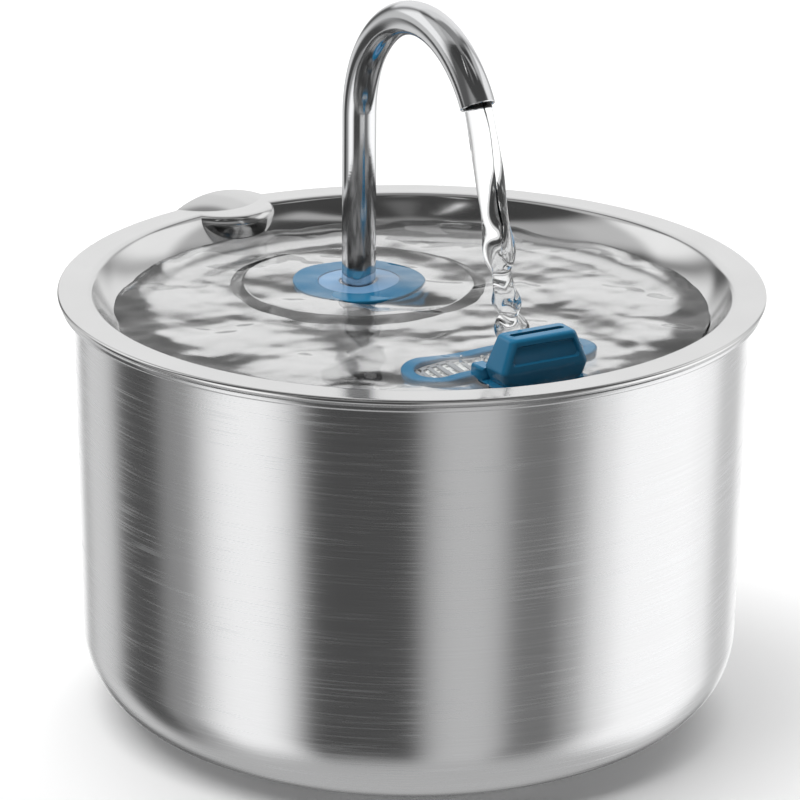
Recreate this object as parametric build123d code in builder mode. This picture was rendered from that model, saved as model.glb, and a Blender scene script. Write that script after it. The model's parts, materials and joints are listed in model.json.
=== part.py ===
from build123d import *
import math
import os

os.makedirs("parts", exist_ok=True)

# Pet water fountain. Millimetres, +Z up, origin at the centre of the base's underside.
# The faucet, the platform and the filter stand on the YZ plane, with the faucet's foot at +Y.

# ---------------------------------------------------------------- clearances
lift_gap = 0.3          # between pieces that lift apart
running_gap = 0.05      # radial, between a shaft and its hole
slip_gap = 0.08         # radial, between the riser and the stem that drops over it
bond_gap = 0.02         # between bonded or screwed pieces

# ---------------------------------------------------------------- bowl
pad_overlap = 2.0               # beyond the bowl's flat bottom
pad_thickness = 1.2
pad_groove_inset = 8.0          # pad's edge to the groove's middle
pad_groove_width = 3.0
pad_groove_depth = 0.5
pad_chamfer = 0.3
bowl_height = 128.5             # floor to the top of the lip
bowl_sheet = 0.8
lip_radius = 103.5
lip_reach = 3.9                 # beyond the wall
bowl_taper = 1.7                # radius lost from the mouth to the base
bowl_corner_radius = 24.0
lip_bead_width = 2.4
lip_bead_height = 2.3
lip_round = 0.9
lip_bend_radius = 1.2
cord_notch_width = 12.0
cord_notch_depth = 6.5

# ---------------------------------------------------------------- tray
tray_sheet = 0.8
tray_overhang = 0.9             # of the rolled edge, beyond the lip
tray_hem_width = 3.4
tray_hem_height = 1.7
tray_hem_round = 0.75
rim_bend_radius = 3.0
dish_depth = 12.5               # rim to the dish's floor
dish_slope_reach = 31.9         # tray's edge to the dish's floor
dish_wall_radius = 26.0         # of the concave wall's arc
dish_wall_top = 1.5             # where the wall's arc turns into a slope, below the rim
platform_inset = 1.9            # edge of the dish's floor to the platform's foot
platform_top_radius = 35.0
platform_foot_radius = 38.6
platform_height = 3.4
platform_round = 1.2

# hood over the cord's way out
hood_angle = 95.8               # about +Z, from +X
hood_bulge_radius = 15.9
hood_bulge_inset = 4.1          # tray's edge to the bulge's centre
hood_bulge_round = 2.6
hood_wall_gap = 0.8             # the bulge ends this short of the bowl's wall
hood_dome_radius = 43.0
hood_dome_offset = 6.9          # tray's edge to the dome's centre, outward
hood_dome_spread = 17.4         # radius of the dome where it meets the rim
hood_overlap = 0.16             # of the hood's sheet into the rim that it grows from

# ---------------------------------------------------------------- faucet and its socket
tube_radius = 5.15
tube_wall = 0.8
tube_bend_radius = 36.75
tube_bend_angle = 149.0
tube_bend_height = 44.0         # of the bend's centre above the rim
tube_insert = 15.0              # below the platform's top
flange_radius = 20.0
flange_thickness = 1.2
flange_round = 0.5
seal_disc_radius = 12.4
seal_disc_thickness = 3.2
seal_disc_recess = 0.8          # below the flange's top
seal_disc_hole_radius = 5.8
stem_wall = 1.6
stem_neck_radius = 8.5
stem_length = 27.0              # below the platform's top
stem_stop_thickness = 1.5
stem_stop_radius = 4.2
seal_ring_radius = 0.9          # of the ring's section
seal_groove_gap = 0.05
seal_ring_depth = 5.5           # of the upper ring, below the platform's top
seal_ring_spacing = 4.5
gasket_radius = 21.0
gasket_thickness = 1.0
nut_radius = 19.0
nut_height = 6.0
nut_rib_count = 18
nut_rib_radius = 1.1

# ---------------------------------------------------------------- filter cassette
filter_inset = 22.5             # edge of the dish's floor to the filter's axis
frame_length = 62.0
frame_width = 20.5
frame_strand = 4.0
frame_height = 3.6
frame_round = 0.9
arm_spacing = 24.0
arm_width = 4.6
arm_top_depth = 4.8             # below the rim
saddle_lift = 1.3               # above the dish's floor, clear of its wall
saddle_thickness = 1.0
plug_margin = 0.4
plug_height = 5.0
mesh_thickness = 1.0
mesh_end = 2.5                  # solid, at each end of the grid
mesh_slot_width = 1.8
mesh_slot_length = 8.0
mesh_pitch = 3.2
shell_ledge = 0.8               # of the shell under the frame
shell_wall = 1.8
shell_depth = 25.0
shell_floor = 1.5
shell_slot_count = 9
shell_slot_width = 2.2
shell_slot_length = 7.0
shell_pitch = 4.8
foam_thickness = 5.0
grip_inset = 2.4                # edge of the dish's floor to the grip's axis
grip_top_length = 21.4
grip_top_width = 8.8
grip_waist_length = 28.4
grip_waist_width = 11.4
grip_foot_length = 24.4
grip_foot_width = 9.6
grip_top_height = 5.8           # above the rim
grip_waist_depth = 3.6          # below the rim
grip_wall = 1.5
grip_slot_length = 17.6
grip_slot_width = 2.2
grip_round = 0.7
grip_corner = 2.0
grip_panel_margin = 2.4
grip_panel_depth = 0.7

# ---------------------------------------------------------------- pump
rotor_x = -8.7
rotor_z = 22.0
nozzle_reach = 6.0              # front of the chamber to the nozzle's axis
chamber_depth = 11.0
chamber_radius = 12.0
housing_width = 31.0
housing_bottom_z = 7.8
housing_top_z = 41.0
housing_length = 34.0
housing_round = 4.0
housing_wall = 1.6
well_radius = 6.7
well_wall = 1.0
well_depth = 19.0
partition_thickness = 3.0       # between the chamber and the motor
nozzle_radius = 4.5
nozzle_bore_radius = 3.3
nozzle_length = 13.0
shaft_radius = 1.0
bush_radius = 2.4
bush_length = 2.0
sleeve_radius = 3.0
sleeve_end_gap = 0.3
magnet_gap = 0.6                # radial, to the well
magnet_start = 1.0              # behind the chamber
magnet_length = 16.5
impeller_radius = 10.6
impeller_disc = 1.2
impeller_front_gap = 1.0
blade_depth = 7.5
blade_count = 6
blade_thickness = 1.0
blade_curve_radius = 9.0
blade_sweep = 38.0
chamber_cover_thickness = 2.5
inlet_radius = 6.2
spider_hub_radius = 3.6
spoke_count = 3
spoke_width = 1.4
back_cover_thickness = 1.8
core_width = 23.0
core_length = 12.0
core_limb = 3.2
core_bridge = 3.6
core_bridge_z = 33.0
core_foot_z = 13.0
core_start = 2.0                # behind the partition
coil_length = 10.0
coil_build = 1.7
coil_round = 1.0
gland_radius = 3.6
gland_neck_radius = 2.8
gland_bore_radius = 1.6
gland_flange = 1.6
gland_length = 9.0
gland_wall = 0.9
gland_x = 8.0                   # from the rotor's axis
gland_z = 34.0
intake_depth = 15.0
intake_wall = 1.6
window_count = 6
window_radius = 1.4
window_circle = 5.6
side_slot_count = 4
side_slot_width = 1.6
side_slot_height = 18.0
side_slot_pitch = 3.0
intake_foam_thickness = 6.0
dial_radius = 8.4
dial_thickness = 2.0
dial_pin_radius = 1.5
dial_bar_length = 14.0
dial_bar_width = 2.0
dial_bar_height = 2.6
cup_radius = 6.0
cup_lip = 0.6
cup_collar_radius = 3.2
cup_hollow = 1.6
cup_peg_radius = 2.0
cup_peg_length = 1.2
cup_spacing_x = 18.0
cup_spacing_y = 20.0
cup_reach = 18.0                # front of the chamber to the middle of the four cups
riser_radius = 6.5
riser_overlap = 9.0             # over the nozzle, and inside the stem

# ---------------------------------------------------------------- worked out from the above
rim_z = bowl_height + tray_hem_height
bowl_mouth_radius = lip_radius - lip_reach
bowl_base_radius = bowl_mouth_radius - bowl_taper
tray_edge_radius = lip_radius + tray_overhang
dish_floor_radius = tray_edge_radius - dish_slope_reach
hood_bulge_centre = tray_edge_radius - hood_bulge_inset
hood_dome_centre = tray_edge_radius + hood_dome_offset
platform_y = dish_floor_radius - platform_inset - platform_foot_radius
filter_y = filter_inset - dish_floor_radius
grip_y = grip_inset - dish_floor_radius
pad_radius = bowl_base_radius - bowl_corner_radius + pad_overlap
pad_groove_radius = pad_radius - pad_groove_inset
bowl_bottom_z = pad_thickness
bowl_floor_z = bowl_bottom_z + bowl_sheet
dish_floor_z = rim_z - dish_depth
platform_top_z = dish_floor_z + platform_height
platform_under_z = platform_top_z - tray_sheet
bend_centre_y = platform_y - tube_bend_radius
bend_centre_z = rim_z + tube_bend_height
tube_foot_z = platform_top_z - tube_insert
flange_top_z = platform_top_z + flange_thickness
seal_disc_top_z = flange_top_z - seal_disc_recess
seal_disc_foot_z = seal_disc_top_z - seal_disc_thickness
stem_radius = seal_disc_radius + stem_wall
nut_foot_z = platform_under_z - gasket_thickness - nut_height
stem_foot_z = platform_top_z - stem_length
tube_bore_radius = tube_radius + running_gap
stem_ring_radius = tube_bore_radius + seal_ring_radius
frame_opening_length = frame_length - 2 * frame_strand
frame_opening_width = frame_width - 2 * frame_strand
shell_length = frame_opening_length + 2 * shell_ledge
shell_width = frame_opening_width + 2 * shell_ledge
media_length = shell_length - 2 * shell_wall - 2 * lift_gap
media_width = shell_width - 2 * shell_wall - 2 * lift_gap
saddle_z = dish_floor_z + saddle_lift
grip_foot_z = saddle_z + saddle_thickness
grip_waist_z = rim_z - grip_waist_depth
grip_top_z = rim_z + grip_top_height
mesh_slot_count = int((frame_opening_length - 2 * mesh_end - mesh_slot_width) / mesh_pitch) + 1
chamber_front_y = platform_y - nozzle_reach
cup_centre_y = chamber_front_y + cup_reach
housing_height = housing_top_z - housing_bottom_z
housing_centre_z = (housing_top_z + housing_bottom_z) / 2
housing_back_y = chamber_front_y + housing_length
chamber_back_y = chamber_front_y + chamber_depth
motor_front_y = chamber_back_y + partition_thickness
well_back_y = chamber_back_y + well_depth
intake_front_y = chamber_front_y - intake_depth
intake_inner_width = housing_width - 2 * intake_wall
intake_inner_height = housing_height - 2 * intake_wall
intake_inner_round = housing_round - intake_wall
nozzle_top_z = housing_top_z + nozzle_length
gland_centre = (rotor_x + gland_x, gland_z)
hood_direction = Vector(math.cos(math.radians(hood_angle)), math.sin(math.radians(hood_angle)), 0)


def save(piece, name):
    """Label a finished piece and write its STEP file."""
    piece.part.label = name
    export_step(piece.part, f"parts/{name}.step")


def across(y):
    """Upright plane across the pump at this Y: its X and Y are the part's X and Z, facing -Y."""
    return Plane.XZ.offset(-y)


def corner(sketch, x, y):
    """The sketch's corner nearest to this point."""
    return sketch.vertices().sort_by_distance((x, y, 0))[0]


def edges_at_height(part, z):
    """The part's edges that lie flat at this height."""
    return part.edges().filter_by_position(Axis.Z, z - 0.01, z + 0.01)


# ================================================================= bowl
with BuildPart() as base_pad:
    with BuildSketch(Plane.XY):
        Circle(pad_radius)
    extrude(amount=pad_thickness)
    with BuildSketch(Plane.XY):
        Circle(pad_groove_radius + pad_groove_width / 2)
        Circle(pad_groove_radius - pad_groove_width / 2, mode=Mode.SUBTRACT)
    extrude(amount=pad_groove_depth, mode=Mode.SUBTRACT)
    chamfer(base_pad.edges().filter_by(GeomType.CIRCLE).group_by(SortBy.RADIUS)[-1], pad_chamfer)
save(base_pad, "base_pad")

bowl_bead_inner = lip_radius - lip_bead_width
bowl_inner_base = bowl_base_radius - bowl_sheet
bowl_inner_mouth = bowl_mouth_radius - bowl_sheet
with BuildPart() as outer_bowl:
    with BuildSketch(Plane.XZ) as bowl_section:
        with BuildLine():
            Polyline(
                (0, bowl_bottom_z),
                (bowl_base_radius, bowl_bottom_z),
                (bowl_mouth_radius, bowl_height - bowl_sheet),
                (bowl_bead_inner, bowl_height - bowl_sheet),
                (bowl_bead_inner, bowl_height - lip_bead_height),
                (lip_radius, bowl_height - lip_bead_height),
                (lip_radius, bowl_height),
                (bowl_inner_mouth, bowl_height),
                (bowl_inner_base, bowl_floor_z),
                (0, bowl_floor_z),
                close=True,
            )
        make_face()
        fillet(corner(bowl_section, bowl_base_radius, bowl_bottom_z), bowl_corner_radius)
        fillet(corner(bowl_section, bowl_inner_base, bowl_floor_z), bowl_corner_radius - bowl_sheet)
        fillet(corner(bowl_section, lip_radius, bowl_height), lip_round)
        fillet(corner(bowl_section, lip_radius, bowl_height - lip_bead_height), lip_round)
        fillet(corner(bowl_section, bowl_inner_mouth, bowl_height), lip_bend_radius)
    revolve(axis=Axis.Z)
    # round-bottomed notch in the lip for the cord
    notch_side = (-hood_direction.Y, hood_direction.X, 0)
    with BuildSketch(Plane(origin=(0, 0, bowl_height), x_dir=notch_side, z_dir=hood_direction)):
        with Locations((0, cord_notch_width / 2 - cord_notch_depth)):
            Circle(cord_notch_width / 2)
        with Locations((0, cord_notch_width - cord_notch_depth)):
            Rectangle(cord_notch_width, cord_notch_width)
    extrude(amount=2 * lip_radius, mode=Mode.SUBTRACT)
save(outer_bowl, "outer_bowl")

# ================================================================= tray
# The dish's wall is an arc tangent to the floor, then a straight slope up to the rim.
wall_centre_z = dish_floor_z + dish_wall_radius
wall_angle = math.degrees(math.acos(1 - (dish_depth - dish_wall_top) / dish_wall_radius))
wall_end_radius = dish_floor_radius + dish_wall_radius * math.sin(math.radians(wall_angle))
rim_corner_radius = wall_end_radius + dish_wall_top / math.tan(math.radians(wall_angle))
tray_hem_inner = tray_edge_radius - tray_hem_width
hood_reach = bowl_inner_mouth - hood_wall_gap
hood_centre = hood_direction * hood_bulge_centre + Vector(0, 0, rim_z)
dome_drop = math.sqrt(hood_dome_radius**2 - hood_dome_spread**2)
dome_centre = hood_direction * hood_dome_centre + Vector(0, 0, rim_z - dome_drop)


def bulge_form(depth):
    """Lower half ball this far under the water's side of the bulge, with a flat top and a rounded edge."""
    radius = hood_bulge_radius - depth
    half_width = math.sqrt(radius**2 - depth**2)
    edge_angle = math.degrees(math.atan2(-depth, half_width))
    with BuildPart() as form:
        with BuildSketch(Plane(origin=hood_centre, x_dir=(1, 0, 0), z_dir=(0, -1, 0))) as section:
            with BuildLine():
                Line((0, -depth), (half_width, -depth))
                CenterArc((0, 0), radius, edge_angle, -90 - edge_angle)
                Line((0, -radius), (0, -depth))
            make_face()
            fillet(corner(section, half_width, -depth), hood_bulge_round - depth)
        revolve(axis=Axis(hood_centre, (0, 0, 1)))
    return form.part


def dome_form(thickness, inner_radius, outer_radius):
    """Ring of the domed rim between these radii about the bowl's axis, in sheet of this thickness."""
    with BuildPart() as form:
        with Locations(dome_centre):
            Sphere(hood_dome_radius)
            Sphere(hood_dome_radius - thickness, mode=Mode.SUBTRACT)
        with BuildSketch(Plane.XY.offset(rim_z - thickness + hood_overlap)):
            Circle(outer_radius)
            if inner_radius > 0:
                Circle(inner_radius, mode=Mode.SUBTRACT)
        extrude(amount=hood_dome_radius, mode=Mode.INTERSECT)
    return form.part


# the space under the dome, down through the rim
with BuildPart() as hood_mouth:
    with Locations(dome_centre):
        Sphere(hood_dome_radius - tray_sheet + hood_overlap)
    with BuildSketch(Plane.XY.offset(rim_z - 2 * tray_hem_height)):
        Circle(tray_edge_radius + tray_hem_width)
    extrude(amount=hood_dome_radius, mode=Mode.INTERSECT)

# the bulge's sheet, inside the bowl's wall
with BuildPart() as hood_bulge:
    add(bulge_form(0))
    with BuildSketch(Plane.XY.offset(rim_z - hood_bulge_radius)):
        Circle(hood_reach)
    extrude(amount=hood_bulge_radius, mode=Mode.INTERSECT)
    add(bulge_form(tray_sheet), mode=Mode.SUBTRACT)
    add(hood_mouth.part, mode=Mode.SUBTRACT)

with BuildPart() as drinking_tray:
    with BuildSketch(Plane.XZ) as tray_section:
        with BuildLine():
            dish_floor = Line((0, dish_floor_z), (dish_floor_radius, dish_floor_z))
            dish_wall = CenterArc((dish_floor_radius, wall_centre_z), dish_wall_radius, -90, wall_angle)
            slope = Line(dish_wall @ 1, (rim_corner_radius, rim_z))
            rim = Line(slope @ 1, (tray_edge_radius - tray_sheet, rim_z))
            offset(amount=tray_sheet, side=Side.RIGHT, kind=Kind.INTERSECTION)
        make_face()
        fillet(corner(tray_section, rim_corner_radius, rim_z), rim_bend_radius)
        fillet(corner(tray_section, rim_corner_radius, rim_z - tray_sheet), rim_bend_radius - tray_sheet)
    revolve(axis=Axis.Z)
    with BuildSketch(Plane.XZ) as hem_section:
        with Locations((tray_edge_radius - tray_hem_width / 2, rim_z - tray_hem_height / 2)):
            Rectangle(tray_hem_width, tray_hem_height)
        fillet(hem_section.vertices().group_by(Axis.X)[-1], tray_hem_round)
    revolve(axis=Axis.Z)
    # the raised platform, a step pressed up from the floor
    with BuildSketch(Plane.XY.offset(dish_floor_z)):
        with Locations((0, platform_y)):
            Circle(platform_foot_radius)
    with BuildSketch(Plane.XY.offset(platform_top_z)):
        with Locations((0, platform_y)):
            Circle(platform_top_radius)
    loft()
    fillet(edges_at_height(drinking_tray, platform_top_z), platform_round)
    with BuildSketch(Plane.XY.offset(dish_floor_z - tray_sheet)):
        with Locations((0, platform_y)):
            Circle(platform_foot_radius - tray_sheet)
    with BuildSketch(Plane.XY.offset(platform_under_z)):
        with Locations((0, platform_y)):
            Circle(platform_top_radius - tray_sheet)
    loft(mode=Mode.SUBTRACT)
    # the hole for the faucet's stem, and the cassette's opening
    with BuildSketch(Plane.XY.offset(platform_top_z)):
        with Locations((0, platform_y)):
            Circle(stem_radius + lift_gap)
    extrude(amount=-2 * tray_sheet, mode=Mode.SUBTRACT)
    with BuildSketch(Plane.XY.offset(dish_floor_z)):
        with Locations((0, filter_y)):
            SlotOverall(shell_length + 2 * lift_gap, shell_width + 2 * lift_gap)
    extrude(amount=-2 * tray_sheet, mode=Mode.SUBTRACT)
    # the hood: a rounded bulge into the dish, under a dome in the rim that lets the cord out
    add(hood_mouth.part, mode=Mode.SUBTRACT)
    add(bulge_form(tray_sheet / 2), mode=Mode.SUBTRACT)
    add(
        [
            hood_bulge.part,
            dome_form(tray_sheet, 0, tray_hem_inner + tray_sheet),
            dome_form(tray_hem_height, tray_hem_inner, tray_edge_radius - bond_gap),
        ]
    )
save(drinking_tray, "drinking_tray")


# ================================================================= faucet and its socket
def column(radius, foot_z, top_z, mode=Mode.ADD):
    """Round column on the faucet's foot axis, added to the part or cut from it."""
    with BuildSketch(Plane.XY.offset(foot_z)) as section:
        with Locations((0, platform_y)):
            Circle(radius)
    extrude(section.sketch, amount=top_z - foot_z, mode=mode)


with BuildPart() as faucet_tube:
    column(tube_radius, tube_foot_z, bend_centre_z)
    column(tube_radius - tube_wall, tube_foot_z, bend_centre_z, Mode.SUBTRACT)
    with BuildSketch(Plane.XY.offset(bend_centre_z)):
        with Locations((0, platform_y)):
            Circle(tube_radius)
            Circle(tube_radius - tube_wall, mode=Mode.SUBTRACT)
    revolve(axis=Axis((0, bend_centre_y, bend_centre_z), (1, 0, 0)), revolution_arc=tube_bend_angle)
save(faucet_tube, "faucet_tube")

# ring on the platform, with a hollow stem that takes the tube from above and the riser from below
seal_ring_heights = [platform_top_z - seal_ring_depth - turn * seal_ring_spacing for turn in range(2)]
seal_groove_half = seal_ring_radius + seal_groove_gap
with BuildPart() as faucet_flange:
    column(flange_radius, platform_top_z, flange_top_z)
    fillet(edges_at_height(faucet_flange, flange_top_z), flange_round)
    column(stem_radius, nut_foot_z, platform_top_z)
    column(stem_neck_radius, stem_foot_z, nut_foot_z)
    column(seal_disc_radius, seal_disc_foot_z, flange_top_z, Mode.SUBTRACT)
    column(tube_bore_radius, tube_foot_z, seal_disc_foot_z, Mode.SUBTRACT)
    column(stem_stop_radius, tube_foot_z - stem_stop_thickness, tube_foot_z, Mode.SUBTRACT)
    column(riser_radius + slip_gap, stem_foot_z, tube_foot_z - stem_stop_thickness, Mode.SUBTRACT)
    for ring_z in seal_ring_heights:
        groove_radius = stem_ring_radius + seal_groove_half
        column(groove_radius, ring_z - seal_groove_half, ring_z + seal_groove_half, Mode.SUBTRACT)
save(faucet_flange, "faucet_flange")

with BuildPart() as seal_disc:
    column(seal_disc_radius - bond_gap, seal_disc_foot_z, seal_disc_top_z)
    column(seal_disc_hole_radius, seal_disc_foot_z, seal_disc_top_z, Mode.SUBTRACT)
save(seal_disc, "seal_disc")

with BuildPart() as tube_seals:
    with BuildSketch(Plane.XZ.offset(-platform_y)):
        with Locations(*[(stem_ring_radius, ring_z) for ring_z in seal_ring_heights]):
            Circle(seal_ring_radius)
    revolve(axis=Axis((0, platform_y, 0), (0, 0, 1)))
save(tube_seals, "tube_seals")

with BuildPart() as platform_gasket:
    column(gasket_radius, platform_under_z - gasket_thickness, platform_under_z)
    column(stem_radius + lift_gap, platform_under_z - gasket_thickness, platform_under_z, Mode.SUBTRACT)
save(platform_gasket, "platform_gasket")

with BuildPart() as socket_nut:
    with BuildSketch(Plane.XY.offset(nut_foot_z)):
        with Locations((0, platform_y)):
            Circle(nut_radius)
            with PolarLocations(nut_radius, nut_rib_count):
                Circle(nut_rib_radius)
            Circle(stem_radius + bond_gap, mode=Mode.SUBTRACT)
    extrude(amount=nut_height)
save(socket_nut, "socket_nut")

with BuildPart() as riser_pipe:
    riser_foot_z = nozzle_top_z - riser_overlap
    riser_top_z = stem_foot_z + riser_overlap
    column(riser_radius, riser_foot_z, riser_top_z)
    column(nozzle_radius + bond_gap, riser_foot_z, riser_top_z, Mode.SUBTRACT)
save(riser_pipe, "riser_pipe")


# ================================================================= filter cassette
def stadium(length, width, foot_z, height, mode=Mode.ADD):
    """Upright block with rounded ends on the filter's axis, added to the part or cut from it."""
    with BuildSketch(Plane.XY.offset(foot_z)) as section:
        with Locations((0, filter_y)):
            SlotOverall(length, width)
    extrude(section.sketch, amount=height, mode=mode)


frame_top_z = dish_floor_z + frame_height
arm_top_z = rim_z - arm_top_depth
arm_start_y = filter_y - frame_width / 2 + frame_strand / 2
arm_end_y = grip_y + grip_waist_width / 2 + lift_gap
saddle_back_y = arm_end_y + 2 * lift_gap
saddle_front_y = grip_y - grip_foot_width / 2
with BuildPart() as filter_frame:
    stadium(frame_length, frame_width, dish_floor_z, frame_height)
    stadium(frame_opening_length, frame_opening_width, dish_floor_z, frame_height, Mode.SUBTRACT)
    fillet(edges_at_height(filter_frame, frame_top_z), frame_round)
    # two arms reach forward to a saddle, whose plug holds the grip
    with BuildSketch(Plane.XY.offset(saddle_z)):
        with Locations((0, (arm_start_y + arm_end_y) / 2)):
            with GridLocations(arm_spacing, 0, 2, 1):
                Rectangle(arm_width, arm_start_y - arm_end_y)
    extrude(amount=arm_top_z - saddle_z)
    arm_edges = filter_frame.edges().filter_by_position(Axis.Z, arm_top_z - 0.01, arm_top_z + 0.01)
    fillet(arm_edges.filter_by(Axis.Y), frame_round)
    with BuildSketch(Plane.XY.offset(saddle_z)):
        with Locations((0, (saddle_front_y + saddle_back_y) / 2)):
            Rectangle(arm_spacing + arm_width, saddle_back_y - saddle_front_y)
    extrude(amount=saddle_thickness)
    plug_length = grip_foot_length - 2 * grip_wall - 2 * plug_margin
    plug_width = grip_foot_width - 2 * grip_wall - 2 * plug_margin
    with BuildSketch(Plane.XY.offset(grip_foot_z)):
        with Locations((0, grip_y)):
            RectangleRounded(plug_length, plug_width, grip_corner)
    extrude(amount=plug_height)
save(filter_frame, "filter_frame")


def grip_form(inset, top_z, mode=Mode.ADD):
    """Flared body of the grip, this far inside its surface, up to this height."""
    rise = (top_z - grip_waist_z) / (grip_top_z - grip_waist_z)
    top_length = grip_waist_length + rise * (grip_top_length - grip_waist_length)
    top_width = grip_waist_width + rise * (grip_top_width - grip_waist_width)
    stations = [
        (grip_foot_z, grip_foot_length, grip_foot_width),
        (grip_waist_z, grip_waist_length, grip_waist_width),
        (top_z, top_length, top_width),
    ]
    sections = []
    for height, length, width in stations:
        with BuildSketch(Plane.XY.offset(height)) as section:
            with Locations((0, grip_y)):
                RectangleRounded(length - 2 * inset, width - 2 * inset, grip_corner - inset / 2)
        sections.append(section.sketch)
    loft(sections, ruled=True, mode=mode)


grip_lean = math.atan2((grip_waist_width - grip_top_width) / 2, grip_top_z - grip_waist_z)
grip_slant = (grip_top_z - grip_waist_z) / math.cos(grip_lean)
with BuildPart() as lift_grip:
    grip_form(0, grip_top_z)
    fillet(edges_at_height(lift_grip, grip_top_z), grip_round)
    grip_form(grip_wall, grip_top_z - grip_wall, Mode.SUBTRACT)
    with BuildSketch(Plane.XY.offset(grip_top_z)):
        with Locations((0, grip_y)):
            SlotOverall(grip_slot_length, grip_slot_width)
    extrude(amount=-2 * grip_wall, mode=Mode.SUBTRACT)
    # recessed panel on the front
    front_origin = (0, grip_y - grip_waist_width / 2, grip_waist_z)
    front_normal = (0, -math.cos(grip_lean), math.sin(grip_lean))
    with BuildSketch(Plane(origin=front_origin, x_dir=(1, 0, 0), z_dir=front_normal)):
        Polygon(
            (-grip_waist_length / 2, 0),
            (grip_waist_length / 2, 0),
            (grip_top_length / 2, grip_slant),
            (-grip_top_length / 2, grip_slant),
            align=None,
        )
        offset(amount=-grip_panel_margin)
    extrude(amount=-grip_panel_depth, mode=Mode.SUBTRACT)
save(lift_grip, "lift_grip")

shell_foot_z = dish_floor_z - shell_depth
foam_foot_z = dish_floor_z - foam_thickness
media_foot_z = shell_foot_z + shell_floor
with BuildPart() as filter_mesh:
    stadium(frame_opening_length - 2 * lift_gap, frame_opening_width - 2 * lift_gap, dish_floor_z, mesh_thickness)
    with BuildSketch(Plane.XY.offset(dish_floor_z)):
        with Locations((0, filter_y)):
            with GridLocations(mesh_pitch, 0, mesh_slot_count, 1):
                SlotOverall(mesh_slot_length, mesh_slot_width, rotation=90)
    extrude(amount=mesh_thickness, mode=Mode.SUBTRACT)
save(filter_mesh, "filter_mesh")

with BuildPart() as cartridge_shell:
    stadium(shell_length, shell_width, shell_foot_z, shell_depth)
    inner_length = shell_length - 2 * shell_wall
    inner_width = shell_width - 2 * shell_wall
    stadium(inner_length, inner_width, media_foot_z, shell_depth - shell_floor, Mode.SUBTRACT)
    with BuildSketch(Plane.XY.offset(shell_foot_z)):
        with Locations((0, filter_y)):
            with GridLocations(shell_pitch, 0, shell_slot_count, 1):
                SlotOverall(shell_slot_length, shell_slot_width, rotation=90)
    extrude(amount=shell_floor, mode=Mode.SUBTRACT)
save(cartridge_shell, "cartridge_shell")

with BuildPart() as filter_foam:
    stadium(media_length, media_width, foam_foot_z, foam_thickness)
save(filter_foam, "filter_foam")

with BuildPart() as carbon_pack:
    stadium(media_length, media_width, media_foot_z, foam_foot_z - media_foot_z)
save(carbon_pack, "carbon_pack")


# ================================================================= pump
def block(x, z, width, height, corner_radius, front_y, length, mode=Mode.ADD):
    """Block with rounded corners along Y, centred on this X and Z, added to the part or cut from it."""
    with BuildSketch(across(front_y)) as section:
        with Locations((x, z)):
            RectangleRounded(width, height, corner_radius)
    extrude(section.sketch, amount=-length, mode=mode)


def barrel(x, z, radius, front_y, length, mode=Mode.ADD):
    """Round bar along Y, centred on this X and Z, added to the part or cut from it."""
    with BuildSketch(across(front_y)) as section:
        with Locations((x, z)):
            Circle(radius)
    extrude(section.sketch, amount=-length, mode=mode)


rear_seat_y = well_back_y + bush_length
rear_wall_y = rear_seat_y + well_wall
chamber_cover_y = chamber_front_y - chamber_cover_thickness
cup_top_z = housing_bottom_z + cup_peg_length
with BuildPart() as pump_housing:
    block(
        rotor_x, housing_centre_z, housing_width, housing_height, housing_round, chamber_front_y, housing_length
    )
    barrel(rotor_x, rotor_z, chamber_radius, chamber_front_y, chamber_depth, Mode.SUBTRACT)
    block(
        rotor_x,
        housing_centre_z,
        housing_width - 2 * housing_wall,
        housing_height - 2 * housing_wall,
        housing_round - housing_wall,
        motor_front_y,
        housing_back_y - motor_front_y,
        Mode.SUBTRACT,
    )
    barrel(rotor_x, rotor_z, well_radius + well_wall, motor_front_y, rear_wall_y - motor_front_y)
    barrel(rotor_x, rotor_z, well_radius, chamber_back_y, well_depth, Mode.SUBTRACT)
    barrel(rotor_x, rotor_z, bush_radius + bond_gap, well_back_y, bush_length, Mode.SUBTRACT)
    # the outlet leaves the chamber's rim upward
    column(nozzle_radius, housing_top_z, nozzle_top_z)
    column(nozzle_bore_radius, rotor_z, nozzle_top_z, Mode.SUBTRACT)
    with BuildSketch(Plane.XY.offset(housing_bottom_z)):
        with Locations((rotor_x, cup_centre_y)):
            with GridLocations(cup_spacing_x, cup_spacing_y, 2, 2):
                Circle(cup_peg_radius + bond_gap)
    extrude(amount=cup_peg_length + bond_gap, mode=Mode.SUBTRACT)
save(pump_housing, "pump_housing")

inset_width = intake_inner_width - 2 * lift_gap
inset_height = intake_inner_height - 2 * lift_gap
inset_round = intake_inner_round - lift_gap
with BuildPart() as chamber_cover:
    block(
        rotor_x, housing_centre_z, inset_width, inset_height, inset_round, chamber_cover_y, chamber_cover_thickness
    )
    barrel(rotor_x, rotor_z, inlet_radius, chamber_cover_y, chamber_cover_thickness, Mode.SUBTRACT)
    # spokes and a hub that holds the front bush
    with BuildSketch(across(chamber_cover_y)):
        with Locations((rotor_x, rotor_z)):
            with PolarLocations((inlet_radius + bush_radius) / 2, spoke_count, start_angle=90):
                Rectangle(inlet_radius, spoke_width)
            Circle(spider_hub_radius)
    extrude(amount=-chamber_cover_thickness)
    barrel(rotor_x, rotor_z, bush_radius + bond_gap, chamber_cover_y, chamber_cover_thickness, Mode.SUBTRACT)
save(chamber_cover, "chamber_cover")

with BuildPart() as front_bush:
    barrel(rotor_x, rotor_z, bush_radius, chamber_cover_y, chamber_cover_thickness)
    barrel(rotor_x, rotor_z, shaft_radius + bond_gap, chamber_cover_y, chamber_cover_thickness, Mode.SUBTRACT)
save(front_bush, "front_bush")

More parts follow.
